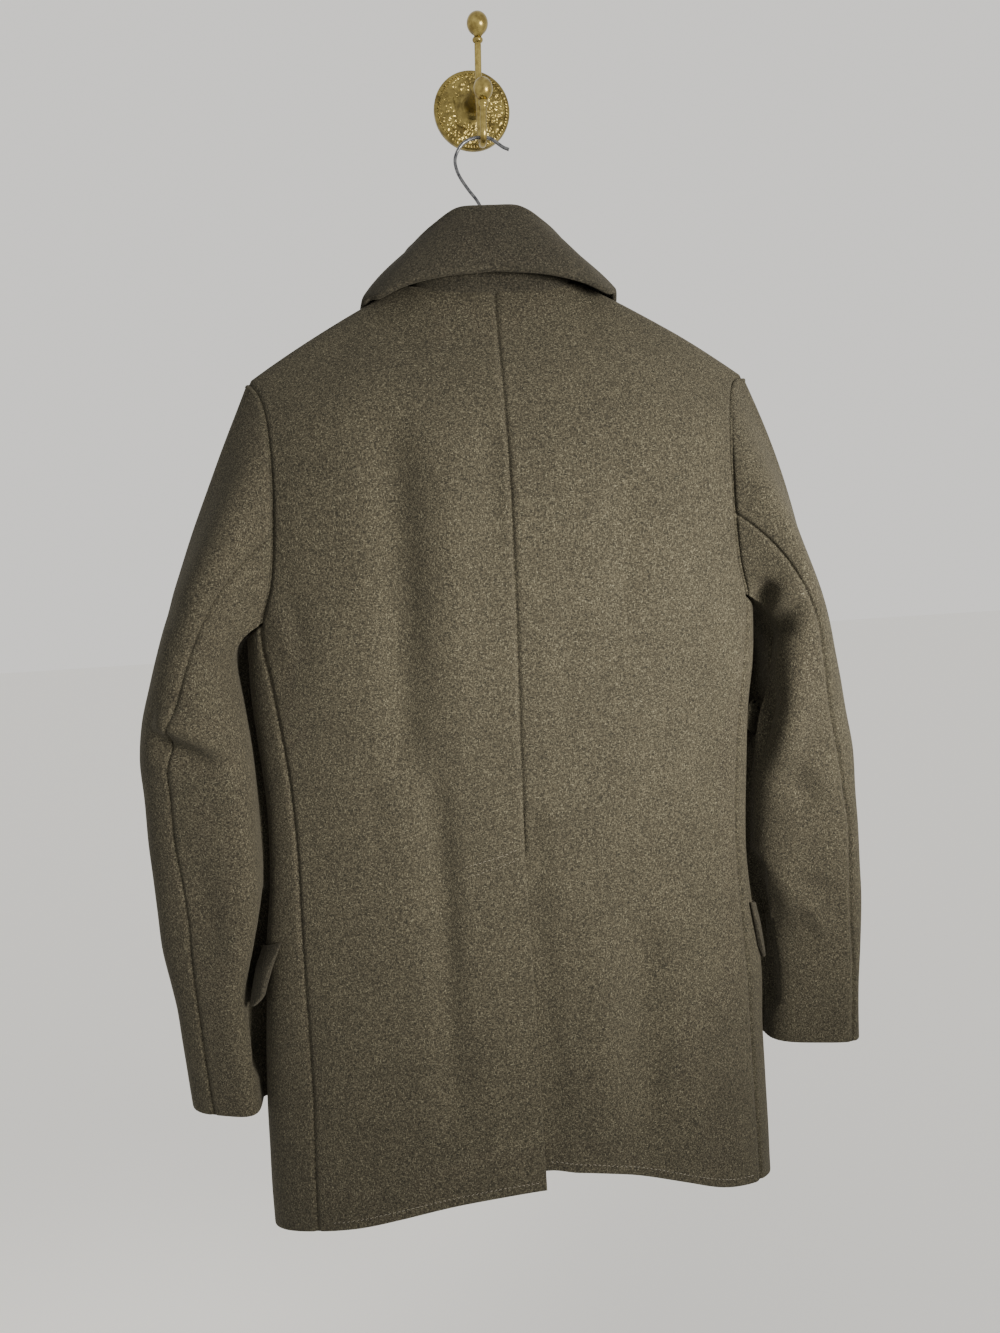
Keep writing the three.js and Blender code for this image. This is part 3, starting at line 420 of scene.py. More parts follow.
def side_surface(side, u, t):
    """From the side-back seam round to the side-front seam, from the armpit (t = 2) to the hem."""
    u, t = np.broadcast_arrays(np.asarray(u, float), np.asarray(t, float))
    hem = lerp(side_hem[side][False], side_hem[side][True], u) - SIDE_HEM_SAG * np.sin(math.pi * u)
    z = lerp(ARMPIT_Z - ARMPIT_SAG * np.sin(math.pi * np.clip(u, 0, 1)), hem, t - 2)
    half, middle, back_x = half_width[side](z), side_depth(z), back_edge[side](z)
    front_x = back_x - FRONT_SEAM_IN
    start = np.arctan2(back_x / half, profile(back_x / half))
    stop = math.pi - np.arctan2(front_x / half, profile(front_x / half))
    angle = lerp(start, stop, u)
    reach = (np.abs(np.sin(angle)) ** SQUARENESS + np.abs(np.cos(angle)) ** SQUARENESS) ** (-1 / SQUARENESS)
    to_back = reach * np.cos(angle)
    rise = np.where(to_back > 0, back_depth(z) - middle, middle - front_depth(z))
    return np.stack([COAT_X + side * half * reach * np.sin(angle), -(middle + rise * to_back), z], -1)

# %% [markdown]
# ## Creases
# Cloth on a hanger keeps the folds that it was worn and stored with. Each crease is a soft trough along a
# line on the panel, and the cloth that it takes up stands beside it as a low ridge. Listing them one by one
# gives the same folds every time, which a cloth simulation wouldn't, and they stay where the cut makes them.

# %% Creases along a line
def through(points, per):
    """A smooth line through points, with some steps between each two."""
    p = np.asarray(points, float)
    p = np.concatenate([[2 * p[0] - p[1]], p, [2 * p[-1] - p[-2]]])
    f = np.linspace(0, 1, per, endpoint=False)[:, None]
    parts = [0.5 * (2 * b + (c - a) * f + (2 * a - 5 * b + 4 * c - d) * f ** 2 + (3 * b - a - 3 * c + d) * f ** 3)
             for a, b, c, d in zip(p, p[1:], p[2:], p[3:])]
    return np.concatenate(parts + [p[-2:-1]])


def crease_height(points, rows):
    """How far the creases move each point. A row is width, depth, ridge, fade in, fade out, line of (x, z)."""
    flat = points[..., [0, 2]].reshape(-1, 2)
    height = np.zeros(len(flat))
    for width, depth, ridge, fade_in, fade_out, line in rows:
        path = through(line, 5)
        near = np.all((flat > path.min(0) - 4 * width) & (flat < path.max(0) + 4 * width), axis=1)
        if not near.any():
            continue
        p, a, b = flat[near][:, None], path[:-1][None], path[1:][None]
        length = np.linalg.norm(b - a, axis=-1)
        f = np.clip(((p - a) * (b - a)).sum(-1) / length ** 2, 0, 1)
        offset = p - (a + f[..., None] * (b - a))
        distance = np.linalg.norm(offset, axis=-1)
        best = distance.argmin(1)
        pick = np.arange(len(best)), best
        done = (np.concatenate([[0], np.cumsum(length[0])])[best] + f[pick] * length[0][best]) / length.sum()
        way = (b - a)[0][best]
        side = np.sign(way[:, 0] * offset[pick][:, 1] - way[:, 1] * offset[pick][:, 0])
        s = distance[pick] / width
        ends = smooth(done / max(fade_in, 1e-3)) * smooth((1 - done) / max(fade_out, 1e-3))
        beside = np.where(side > 0, max(ridge, 0), max(-ridge, 0)) + 0.12
        height[near] += ends * depth * (beside * np.exp(-((s - 1.7) / 0.9) ** 2) - np.exp(-s ** 2))
    return height.reshape(points.shape[:-1])


def ripple(points, size):
    """Low, long waves that no piece of thick cloth is without."""
    x, z = points[..., 0], points[..., 2]
    waves = ((0.031, 0.011, 0.4), (-0.017, 0.043, 1.9), (0.067, -0.021, 2.7), (0.012, 0.083, 4.4),
             (-0.088, 0.035, 5.1))
    return size * sum(np.sin(a * x + b * z + c) / (1 + k) for k, (a, b, c) in enumerate(waves))


# %% [markdown]
# ## A panel of cloth
# One builder makes every cloth piece: it takes the piece's own grid, moves the face out or in by the
# creases, and closes it with a lining side 3 mm below. A seam edge dips, because its cloth turns in there. A
# free edge is rounded, because it is a fold of the cloth.

# %% One builder for all cloth
SEAM_DIP, SEAM_WIDTH = 2.2, 2.0
FREE_RIM = dict(left=1.0, right=1.0, top=1.0, bottom=1.0)
dressed = {}


def stops(length, spacing=4.0):
    """Parameters from 0 to 1, fine at both rims and even between them."""
    rim = np.array([0, 0.25, 0.8, 1.6, 3, 5])
    middle = np.linspace(8, length - 8, max(2, int(round((length - 16) / spacing)) + 1))
    return np.concatenate([rim, middle, length - rim[::-1]]) / length


def sheet_of_cloth(name, grid, outward, material, slot, left=0.0, right=0.0, top=0.0, bottom=0.0,
                   thickness=CLOTH, lift=0.0, creases=(), wave=0.35, held="hung"):
    """left, right, top and bottom are 0 for a seam, 1 for a free edge, or such numbers along that edge."""
    normal = normals_of(grid) * outward
    from_left, from_right = run(grid, 1)
    from_top, from_bottom = run(grid, 0)
    to_room = smooth((-normal[..., 1] - 0.02) / 0.3)
    from_seam = 1.0 if top else smooth(from_top / 30)
    face = lift + crease_height(grid, creases) * to_room * from_seam + ripple(grid, wave)
    lining = face - thickness
    rounded = np.zeros(face.shape)
    half = thickness / 2
    for distance, free, axis in ((from_left, left, 1), (from_right, right, 1),
                                 (from_top, top, 0), (from_bottom, bottom, 0)):
        free = np.asarray(free, float)
        free = free[:, None] if free.ndim and axis == 1 else free[None, :] if free.ndim else free
        face = face - (1 - free) * SEAM_DIP * np.exp(-(distance / SEAM_WIDTH) ** 2)
        edge = np.clip(distance / half, 0.02, 1)
        rounded = np.maximum(rounded, free * half * (1 - np.sqrt(1 - (1 - edge) ** 2)))
    outer = grid + normal * (face - rounded)[..., None]
    inner = grid + normal * (lining + rounded)[..., None]
    rows, cols = grid.shape[:2]
    faces = shell_faces(rows, cols)
    if outward < 0:
        faces = [f[::-1] for f in faces]
    points = np.concatenate([outer.reshape(-1, 3), inner.reshape(-1, 3)])
    obj = mesh_object(f"{name}_cloth", points, faces, material)
    middle = (outer + inner) / 2
    a, b, c, d = middle[:-1, :-1], middle[:-1, 1:], middle[1:, 1:], middle[1:, :-1]
    area = (np.linalg.norm(np.cross(b - a, c - a), axis=-1) + np.linalg.norm(np.cross(c - a, d - a), axis=-1))
    area = float(area.sum()) / 2 * MM * MM
    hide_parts(name)
    dressed[name] = outer, unit(normals_of(outer) * outward)

# %% [markdown]
# ## Back, side and front panels
# The two backs meet in the centre seam, which is open below the tack as a vent: there the left half lies on
# the right one. The side panels turn round to the fronts, which lap left over right in front of the wall.

# %% Creases of the back
# width, depth, ridge, fade in, fade out, then the line, from its start to its end
BACK_CREASES = [
    (13, 2.0, 0, 0.3, 0.3, [(-82, -262), (-86, -330), (-88, -420), (-90, -540)]),
    (10, 1.4, 0.6, 0.3, 0.4, [(-84, -560), (-77, -640), (-74, -720), (-77, -800), (-84, -880)]),
    (8, 1.6, -0.6, 0.3, 0.5, [(-195, -418), (-188, -440), (-183, -470), (-178, -500)]),
    (12, 1.5, 0, 0.4, 0.5, [(-206, -740), (-204, -830), (-207, -960)]),
    (14, 1.2, 0.4, 0.4, 0.4, [(152, -900), (170, -918), (192, -926)]),
    (6, 1.2, 0.7, 0.4, 0.5, [(143, -820), (165, -841), (188, -858)]),
    (16, 1.6, 0, 0.4, 0.4, [(28, -840), (18, -886), (26, -935)]),
    (18, 1.4, 0, 0.4, 0.4, [(184, -540), (178, -600), (176, -660)]),
    (10, 1.0, 0.5, 0.4, 0.4, [(-140, -560), (-128, -640), (-130, -720)]),
    (11, 1.1, -0.5, 0.4, 0.4, [(52, -420), (44, -500), (40, -580)]),
]

# %% Back, side and front panels
BODY_PATH = (0, 150, 300, 845)   # round the shoulder, down to the armpit, down to the hem
BACK_WIDE, SIDE_WIDE, FRONT_WIDE, SIDE_LONG = 210, 90, 290, 550
body_rows = np.interp(stops(BODY_PATH[-1]) * BODY_PATH[-1], BODY_PATH, range(4))
low_rows = 2 + stops(SIDE_LONG)
for side in (LEFT, RIGHT):
    label = SIDE_NAME[side]
    u, t = np.meshgrid(stops(BACK_WIDE), body_rows)
    below_tack = smooth((TACK_Z - 4 - back_surface(side, 0 * body_rows, body_rows)[..., 2]) / 10)
    sheet_of_cloth(f"back_{label}", back_surface(side, u, t), -side, wool, "melton",
                   left=below_tack, bottom=1.0, creases=BACK_CREASES)
    u, t = np.meshgrid(stops(SIDE_WIDE), low_rows)
    sheet_of_cloth(f"side_{label}", side_surface(side, u, t), -side, wool, "melton", bottom=1.0,
                   creases=BACK_CREASES)
    u, t = np.meshgrid(stops(FRONT_WIDE), body_rows)
    sheet_of_cloth(f"front_{label}", front_surface(side, u, t), side, wool, "melton",
                   left=1.0, bottom=1.0)

# %% [markdown]
# ## Sleeves
# A two-piece sleeve hangs from the armhole: the grid starts on the armhole's own edge and runs into level
# oval sections down to the cuff. The hind seam between the top and the under sleeve wanders round the arm.

# %% Sizes of the sleeves
# z, outer edge, inner edge, depth of the middle, half the depth, angle of the hind seam, tilt to the wall
SLEEVE = {
    LEFT: [
        (-500, 318, 243, 66, 50, 86, 3), (-536, 329, 239, 65, 48, 74, 6), (-568, 334, 236, 63, 45, 69, 8),
        (-603, 334, 235, 60, 42, 67, 10), (-644, 335, 235, 58, 39, 67, 12), (-676, 334, 236, 56, 37, 69, 12),
        (-713, 333, 240, 55, 35, 72, 12), (-746, 332, 248, 54, 34, 74, 12), (-780, 328, 257, 53, 33, 76, 12),
        (-805, 325, 259, 52, 32, 76, 12), (-835, 323, 257, 52, 32, 75, 12), (-900, 319, 253, 51, 31, 74, 12),
    ],
    RIGHT: [
        (-500, 299, 245, 66, 49, 84, 0), (-536, 307, 240, 65, 47, 78, 0), (-568, 314, 230, 62, 44, 70, 0),
        (-603, 320, 228, 59, 41, 65, -2), (-644, 322, 227, 56, 38, 58, -5), (-676, 324, 227, 54, 36, 54, -7),
        (-712, 325, 227, 53, 34, 54, -9), (-745, 326, 234, 52, 33, 56, -10), (-780, 326, 242, 51, 32, 56, -10),
        (-805, 326, 243, 50, 31, 53, -10), (-836, 324, 241, 50, 31, 50, -10), (-895, 324, 237, 49, 30, 50, -10),
    ],
}
sleeve_part = {s: [curve(SLEEVE[s], k) for k in range(1, 7)] for s in (LEFT, RIGHT)}
HEAD_Z, CUFF_Z = -500, {LEFT: -900, RIGHT: -895}
SEAM_T = 1.36      # where the hind seam starts on the armhole
SLEEVE_SQUARENESS = (2.2, 3.6, 200)   # a superellipse: round at the top, squarer over this length
# The wall side of each sleeve reaches in until it rests beside the body and its pocket flap: the angles
# between which it does, and how far.
TUCK = {LEFT: (195, 295, 34), RIGHT: (172, 290, 27)}
REST_GAP = 0.8                      # beside the body
FLAP_ROOM = (-722, -850, 18, 40)    # beside a flap: its top, bottom, gap and fade


# %% The armhole and the sleeve's form
def armhole(side, p):
    """The armhole's edge: p is 0 to 2 down the back, to 3 under the arm, to 5 up the front."""
    p = np.asarray(p, float) % 5
    back = back_surface(side, np.ones_like(p), np.clip(p, 0, 2))
    under = side_surface(side, np.clip(p - 2, 0, 1), np.full_like(p, 2))
    front = front_surface(side, np.ones_like(p), np.clip(5 - p, 0, 2))
    return np.where((p <= 2)[..., None], back, np.where((p < 3)[..., None], under, front))


def armhole_angle(side):
    """The angle about the sleeve against p: 0 at the shoulder and 180 under the arm."""
    p = np.linspace(0, 5, 1001)
    far = np.concatenate([[0], np.cumsum(np.linalg.norm(np.diff(armhole(side, p), axis=0), axis=1))])
    lowest = np.interp(2.4, p, far)
    return p, np.where(far < lowest, 180 * far / lowest, 180 + 180 * (far - lowest) / (far[-1] - lowest))


def body_reach(side, off_wall, z):
    """How far the body reaches from the centre at this depth and height."""
    middle = side_depth(z)
    rise = np.where(off_wall > middle, back_depth(z) - middle, middle - front_depth(z))
    return half_width[side](z) * profile((off_wall - middle) / rise)


def rest_gap(z):
    flap_top, flap_bottom, gap, fade = FLAP_ROOM
    return lerp(REST_GAP, gap, smooth((flap_top + fade - z) / fade) * smooth((z - flap_bottom + fade) / fade))


def sleeve_grid(side, columns, head_rows, level_rows):
    outer, inner, depth, half, seam, tilt = sleeve_part[side]
    p = np.asarray(columns) % 5
    angle = np.interp(p, *armhole_angle(side))
    start_angle = np.interp(SEAM_T, *armhole_angle(side))

    def section(z):
        z = np.asarray(z, float)[:, None]
        at_seam = seam(z)
        turned = np.where(angle <= start_angle, angle / start_angle * at_seam,
                          np.where(angle < 180, lerp(at_seam, 180, (angle - start_angle) / (180 - start_angle)),
                                   angle))
        a = np.radians(turned)
        round_top, square_low, over = SLEEVE_SQUARENESS
        n = lerp(round_top, square_low, smooth((HEAD_Z - z) / over))
        reach = (np.abs(np.sin(a)) ** n + np.abs(np.cos(a)) ** n) ** (-1 / n)
        x = (outer(z) + inner(z)) / 2 + (outer(z) - inner(z)) / 2 * reach * np.cos(a)
        off_wall = depth(z) + reach * (half(z) * np.sin(a) - tilt(z) * np.cos(a))
        tuck_from, tuck_to, tuck = TUCK[side]
        x = x - tuck * np.sin(math.pi * np.clip((turned - tuck_from) / (tuck_to - tuck_from), 0, 1))
        x = np.where(np.cos(a) < 0, np.maximum(x, body_reach(side, off_wall, z) + rest_gap(z)), x)
        return np.stack([COAT_X + side * x, -off_wall, z + 0 * a], -1)

    start, end = armhole(side, p), section([HEAD_Z])[0]
    reach = np.linalg.norm(end - start, axis=-1, keepdims=True)
    slope = (section([HEAD_Z - 6])[0] - end) / 6 * reach
    a = np.radians(angle)
    under = (1 - np.cos(a)) / 2
    leave = np.stack([side * (0.42 + 0.5 * under), -0.3 * np.sin(a), 0.6 * under - 0.9], -1)
    leave = unit(leave) * reach * 1.05
    f = np.asarray(head_rows)[:, None, None]
    g = 1 - f
    head = start * (1 + 2 * f) * g * g + leave * f * g * g + end * f * f * (3 - 2 * f) - slope * f * f * g
    return np.concatenate([head, section(level_rows)])


# %% Creases of the sleeves
SLEEVE_CREASES = [
    # Left: the elbow's fold, the bulge above it, and soft drag lines from the armhole.
    (11, 8.0, 0.9, 0.2, 0.5, [(-318, -548), (-300, -554), (-276, -566), (-248, -584)]),
    (14, 3.0, 0, 0.4, 0.4, [(-262, -468), (-252, -505), (-250, -545)]),
    (10, 2.2, -0.6, 0.4, 0.4, [(-300, -455), (-282, -441), (-262, -430)]),
    (16, 2.5, 0, 0.3, 0.3, [(-318, -330), (-322, -400), (-320, -460)]),
    (12, 1.8, 0.5, 0.4, 0.4, [(-298, -640), (-282, -700), (-284, -770)]),
    # Right: the deep fold under the arm with its short branch, and the slack of the forearm.
    (16, 16.0, 0.3, 0.12, 0.3, [(220, -436), (222, -461), (223, -497), (225, -530), (226, -560), (220, -595),
                               (213, -635)]),
    (9, 5.0, -0.7, 0.4, 0.3, [(262, -452), (252, -472), (244, -500)]),
    (12, 4.0, 0.6, 0.3, 0.5, [(246, -612), (262, -634), (282, -668)]),
    (11, 3.2, 0.8, 0.25, 0.4, [(222, -712), (236, -745), (254, -782), (284, -812)]),
    (8, 3.0, 0.9, 0.3, 0.4, [(255, -752), (270, -775), (286, -796)]),
    (8, 2.4, 0.8, 0.4, 0.4, [(262, -733), (288, -737), (308, -746)]),
]

# %% Sleeves
HEAD_LONG, UNDER_ROUND, TOP_ROUND = 260, 240, 300
head_rows = stops(HEAD_LONG)[:-6]
for side in (LEFT, RIGHT):
    label = SIDE_NAME[side]
    level_rows = HEAD_Z - stops(HEAD_Z - CUFF_Z[side]) * (HEAD_Z - CUFF_Z[side])
    level_rows = np.concatenate([np.linspace(HEAD_Z, HEAD_Z - 8, 3)[:-1], level_rows[6:]])
    under = np.interp(stops(UNDER_ROUND), [0, 0.3, 0.7, 1], [SEAM_T, 2, 3, 5 - SEAM_T])
    top = 5 - SEAM_T + stops(TOP_ROUND) * 2 * SEAM_T
    sheet_of_cloth(f"sleeve_{label}_under", sleeve_grid(side, under, head_rows, level_rows), side, wool,
                   "melton", bottom=1.0, creases=SLEEVE_CREASES)
    sheet_of_cloth(f"sleeve_{label}_top", sleeve_grid(side, top, head_rows, level_rows), side, wool,
                   "melton", bottom=1.0, creases=SLEEVE_CREASES)

# %% [markdown]
# ## Armhole seam allowances
# Inside the armhole the raw edges of body and sleeve are pressed together into a roll of cloth, which fills
# the seam from behind so that no light comes through. It is a round bar of wool along the armhole's edge.

# %% Armhole seam allowances
ALLOWANCE_RADIUS, ALLOWANCE_DEPTH = 2.6, 4.2
for side in (LEFT, RIGHT):
    edge = armhole(side, np.linspace(0, 5, 161)[:-1])
    inward = unit(edge.mean(0) - edge)
    centres = (edge + inward * ALLOWANCE_DEPTH)[:, None]
    turns = np.linspace(0, 2 * math.pi, 10, endpoint=False)[:, None]
    rings = centres + ALLOWANCE_RADIUS * (np.cos(turns) * inward[:, None] + np.sin(turns) * np.array([1.0, 0, 0]))
    rings = np.concatenate([rings, rings[:1]])
    roll = mesh_object(f"armhole_allowance_{SIDE_NAME[side]}", rings.reshape(-1, 3),
                       tube_faces(*rings.shape[:2], closed=True), wool)
print("armhole edge", round(float(run(edge[None], 1)[0].max())), "mm round")

# %% [markdown]
# ## Collar and lapels
# A collar is a stand that goes up from the neck seam, a roll, and a leaf that falls over the seam. Seen from
# the side its section is a hook, so the grid runs from the leaf's edge over the roll and down the stand.

# %% Sizes of the collar
# station, x, depth and z of the neck seam, stand, its direction, x, depth and z of the leaf's edge
COLLAR = [
    (0, 0, 84, -179.4, 71.5, 0, 0.1, 0.995, 0, 101, -169),
    (1, 28, 83, -178.6, 70.5, -0.04, 0.13, 0.99, 42, 101, -172),
    (2, 52, 79, -176, 58, -0.14, 0.2, 0.97, 76, 98, -178),
    (3, 66, 71, -171.5, 42, -0.16, 0.26, 0.94, 101, 90, -186),
    (4, 71, 59, -168, 31, -0.1, 0.4, 0.9, 112, 69, -181),
    (5, 64, 49, -180, 24, -0.1, 0.65, 0.7, 117, 41, -194),
    (6, 53, 43, -194, 19, -0.2, 0.85, 0.4, 113, 31, -222),
    (7, 42, 38, -205, 15, -0.3, 0.92, 0.2, 99, 27, -243),
]
COLLAR_ROLL, COLLAR_BULGE, COLLAR_TURNING = 7, 3, 8
COLLAR_ROUND = 480   # round the leaf from point to point
COLLAR_PATH = (0, 75, 97, 160, 168)   # how far the leaf, the roll, the stand and its turning reach


def collar_grid(stations, path):
    part = [curve(COLLAR, k)(np.abs(stations)) for k in range(1, 11)]
    x, depth, z, stand, up_x, up_y, up_z, leaf_x, leaf_depth, leaf_z = part
    s = np.where(stations < 0, LEFT, RIGHT)
    seam = np.stack([COAT_X + s * x, -depth, z], -1)
    leaf = np.stack([COAT_X + s * leaf_x, -leaf_depth, leaf_z], -1)
    up = unit(np.stack([s * up_x, up_y, up_z], -1))
    out = leaf - seam
    out = unit(out - up * (out * up).sum(-1, keepdims=True))
    centre = seam + up * (stand - COLLAR_ROLL)[:, None]
    foot = seam - out * COLLAR_CLOTH
    rolled_out, rolled_in = centre + out * COLLAR_ROLL, centre - out * COLLAR_ROLL
    middle = (leaf + rolled_out) / 2 + out * COLLAR_BULGE * 2
    v = np.asarray(path, float)[:, None, None]
    f = np.clip(v, 0, 1)
    fall = leaf * (1 - f) ** 2 + middle * 2 * f * (1 - f) + rolled_out * f * f
    a = math.pi * np.clip(v - 1, 0, 1)
    roll = centre + out * COLLAR_ROLL * np.cos(a) + up * COLLAR_ROLL * np.sin(a)
    down = lerp(rolled_in, foot, np.clip(v - 2, 0, 1)) - up * COLLAR_TURNING * np.clip(v - 3, 0, 1)
    return np.where(v <= 1, fall, np.where(v <= 2, roll, down))


# %% Collar
path = np.interp(stops(COLLAR_PATH[-1], 3.0) * COLLAR_PATH[-1], COLLAR_PATH, range(5))
stations = lerp(-7.0, 7.0, stops(COLLAR_ROUND))
sheet_of_cloth("collar", collar_grid(stations, path), 1, shade_painted_wool, "collar_melton", **FREE_RIM,
               thickness=COLLAR_CLOTH, wave=0.5, held="folded")

# %% [markdown]
# ## What lies on the fronts
# The lapels are the fronts' own edge turned back, and each pocket has a flap. Their points are found on the
# front or the side panel first and then lifted off it, so they follow every curve of the cloth under them.

# %% Points on the fronts
LAPEL = {LEFT: ((-66, -335), (-58, -340)), RIGHT: ((4, -253), (34, -291))}
ROLL_TOP, NOTCH, TIP, BELLY = np.array([(38, -213), (92, -260), (130, -246), (9, 6)], float)
LAPEL_WIDE, LAPEL_LONG = 110, 140
FLAP_TOP, FLAP_BOTTOM, FLAP_FRONT_FROM, FLAP_TURN, FLAP_END = -746, -801, 0.62, 0.45, (0.12, 0.2)
FLAP_LONG, FLAP_TALL, FLAP_CORNER = 146, 55, 14
FLAP_STAND_OFF, FLAP_CURL, CURL_FROM = {LEFT: 3.5, RIGHT: 0}, {LEFT: 10.5, RIGHT: 0}, 0.78


def on_front(side, x, z):
    """The front's point at this place, found by halving the range of t."""
    low, high = np.zeros_like(x), np.full_like(x, 3)
    for _ in range(30):
        t = (low + high) / 2
        above_it = front_at(side, x, t)[..., 2] > z
        low, high = np.where(above_it, t, low), np.where(above_it, high, t)
    return front_at(side, x, (low + high) / 2)


def round_corner(across_it, down_it, radius, width, height):
    """Shortens a piece's far side near its end, so that its lower corner is a quarter of an ellipse."""
    past = np.clip((across_it - 1 + radius / width) / (radius / width), 0, 1)
    return down_it * (1 - radius / height * (1 - np.sqrt(1 - 0.98 * past ** 2)))


# %% Lapels and pocket flaps
for side in (LEFT, RIGHT):
    label = SIDE_NAME[side]
    roll_end, end = np.array(LAPEL[side], float)
    u, v = (w[..., None] for w in np.meshgrid(stops(LAPEL_WIDE), stops(LAPEL_LONG)))
    rim = lerp(TIP, end, v) + BELLY * np.sin(math.pi * v)
    top_line = lerp(lerp(ROLL_TOP, NOTCH, u), lerp(NOTCH, TIP, u), u)
    place = lerp(lerp(ROLL_TOP, roll_end, v), rim, u)
    place = place + (top_line - lerp(ROLL_TOP, TIP, u)) * np.clip(1 - 8 * v, 0, 1)
    grid = on_front(side, place[..., 0], place[..., 1])
    sheet_of_cloth(f"lapel_{label}", grid, side, shade_painted_wool, "collar_melton", **FREE_RIM,
                   lift=LAY_GAP + CLOTH, wave=0.2, held="folded")

    u, v = np.meshgrid(stops(FLAP_LONG, 3.0), stops(FLAP_TALL, 3.0))
    v = round_corner(u, v, FLAP_CORNER, FLAP_LONG, FLAP_TALL)
    z = lerp(FLAP_TOP, FLAP_BOTTOM, v)
    t = 2 + (z - ARMPIT_Z) / (FRONT_HEM[side] - ARMPIT_Z)
    along_front = lerp(FLAP_FRONT_FROM, 1, np.minimum(u / FLAP_TURN, 1))
    on_the_front = on_front(side, along_front * edge_x(side, t, True), z)
    along_side = lerp(1, lerp(*FLAP_END, v), np.maximum(u - FLAP_TURN, 0) / (1 - FLAP_TURN))
    on_the_side = side_surface(side, along_side, t)
    grid = np.where((u < FLAP_TURN)[..., None], on_the_front, on_the_side)
    open_by = FLAP_STAND_OFF[side] * v * smooth(u / 0.8)
    open_by = open_by + FLAP_CURL[side] * v * (2 - v) * smooth((u - CURL_FROM) / (1 - CURL_FROM))
    thick = lerp(FLAP_ROOT_CLOTH, FLAP_CLOTH[side], smooth(v / 0.4))
    sheet_of_cloth(f"flap_{label}", grid, side, shade_painted_wool, "collar_melton", **FREE_RIM,
                   thickness=thick, lift=FLAP_GAP + thick + open_by, wave=0.2)

# %% [markdown]
# ## Sewing
# A lockstitch shows as a row of short raised bars with a small gap between them. Each stitch is a thin bar
# that sinks into the wool at both ends, laid on the finished face of the cloth.

# %% Sewing thread
def thread(name, colour):
    """Spun polyester sewing thread: two twisted plies, seen here only as its tone."""
    m = new_material(name)
    ply = noise(m, (add_node(m, "TexCoord"), "Object"), 1 / 3)
    tone = remap(m, (ply, "Fac"), 0.8, 1.2)
    mixed = add_node(m, "VectorMath", {"operation": "SCALE"}, {0: srgb(colour)[:3], "Scale": (tone, 0)})
    return surface(m, {"Base Color": (mixed, 0), "Roughness": 0.6, "Sheen Weight": 0.3})


seam_thread = thread("sewing_thread", "#4d4736")
dark_thread = thread("button_thread", "#2c261d")

# %% Stitches
STITCH, STITCH_GAP, THREAD_RADIUS = 3.0, 1.2, 0.28


def on_cloth(name, places):
    """The nearest points of a panel's face to some (x, z), and its normals there."""
    points, normal = dressed[name]
    flat, normal = points.reshape(-1, 3), normal.reshape(-1, 3)
    picked = []
    for x, z in places:
        near = np.hypot(flat[:, 0] - x, flat[:, 2] - z)
        nearest = np.argsort(near)[:4]
        weight = 1 / (near[nearest] + 0.05) ** 2
        weight = weight / weight.sum()
        picked.append(((flat[nearest] * weight[:, None]).sum(0), unit((normal[nearest] * weight[:, None]).sum(0))))
    return picked


def stitch_meshes(lines, radius):
    """Points and faces of one bar for each short line of (point, normal) pairs."""
    points, faces = [], []
    turns = np.linspace(0, 2 * math.pi, 6, endpoint=False)[:, None]
    for line in lines:
        base = len(points)
        along = unit(line[-1][0] - line[0][0])
        for (p, n), high, size in zip(line, (-0.25, 0.2, 0.3, 0.2, -0.25), (0.5, 1, 1.05, 1, 0.5)):
            sideways = unit(np.cross(along, n))
            ring = p + n * high + radius * size * (np.cos(turns) * n + np.sin(turns) * sideways)
            points += ring.tolist()
        faces += [[base + i for i in f] for f in tube_faces(5, 6)]
    return points, faces


def stitch_row(panel, line):
    """A row of stitches along a line of (x, z) on a panel."""
    path = through(line, 12)
    far = np.concatenate([[0], np.cumsum(np.linalg.norm(np.diff(path, axis=0), axis=1))])
    rows = []
    for start in np.arange(STITCH_GAP, far[-1] - STITCH, STITCH + STITCH_GAP):
        at = start + np.linspace(0, STITCH, 5)
        rows.append(on_cloth(panel, np.stack([np.interp(at, far, path[:, k]) for k in (0, 1)], -1)))
    return rows


def sewn(name, rows, material, radius=THREAD_RADIUS):
    points, faces = stitch_meshes(rows, radius)
    obj = mesh_object(name, points, faces, material, sharp=80)
    print(name, len(rows), "stitches")


# %% Hem and vent stitching
HEM_ROW = 9


def hem_line(side, x_from, x_to):
    xs = np.linspace(x_from, x_to, 8)
    return [(COAT_X + side * x, float(back_hem[side](x)) + HEM_ROW) for x in xs]


sewn("hem_stitching", stitch_row("back_right", hem_line(RIGHT, 4, 206))
     + stitch_row("back_left", hem_line(LEFT, 6, 196)), seam_thread)
sewn("vent_tack", stitch_row("back_left", [(-55, -683), (-23, -676), (-3, -669)])
     + stitch_row("back_left", [(-53, -692), (-22, -685), (-3, -678)]), seam_thread)

# %% [markdown]
# ## Buttons
# Coat buttons like these are cast or turned from polyester or horn, dished in the middle with four holes, and
# sewn on with doubled thread. A lathe can't cut the four holes, so the face is a disc of rings and sectors
# whose height is worked out point by point.

# %% Button material
def horn(name, dark, light):
    m = new_material(name)
    place = add_node(m, "TexCoord"), "Object"
    cloud = noise(m, place, 6.25, detail=4.0, distortion=1.2)
    tone = ramp(m, (cloud, "Fac"), [(0.3, dark), (0.7, light)])
    rough = remap(m, (noise(m, place, 0.4), "Fac"), 0.28, 0.42)
    return surface(m, {"Base Color": (tone, 0), "Roughness": (rough, 0), "IOR": 1.54})


button_horn = horn("horn_buttons", "#1d1712", "#3d2f22")

# %% Buttons
BUTTON_RADIUS, BUTTON_HEIGHT, DISH_DEPTH = 13.5, 4, 0.9
HOLE_RADIUS, HOLE_OFF, HOLE_DEPTH = 1.3, 2.6, 2.2


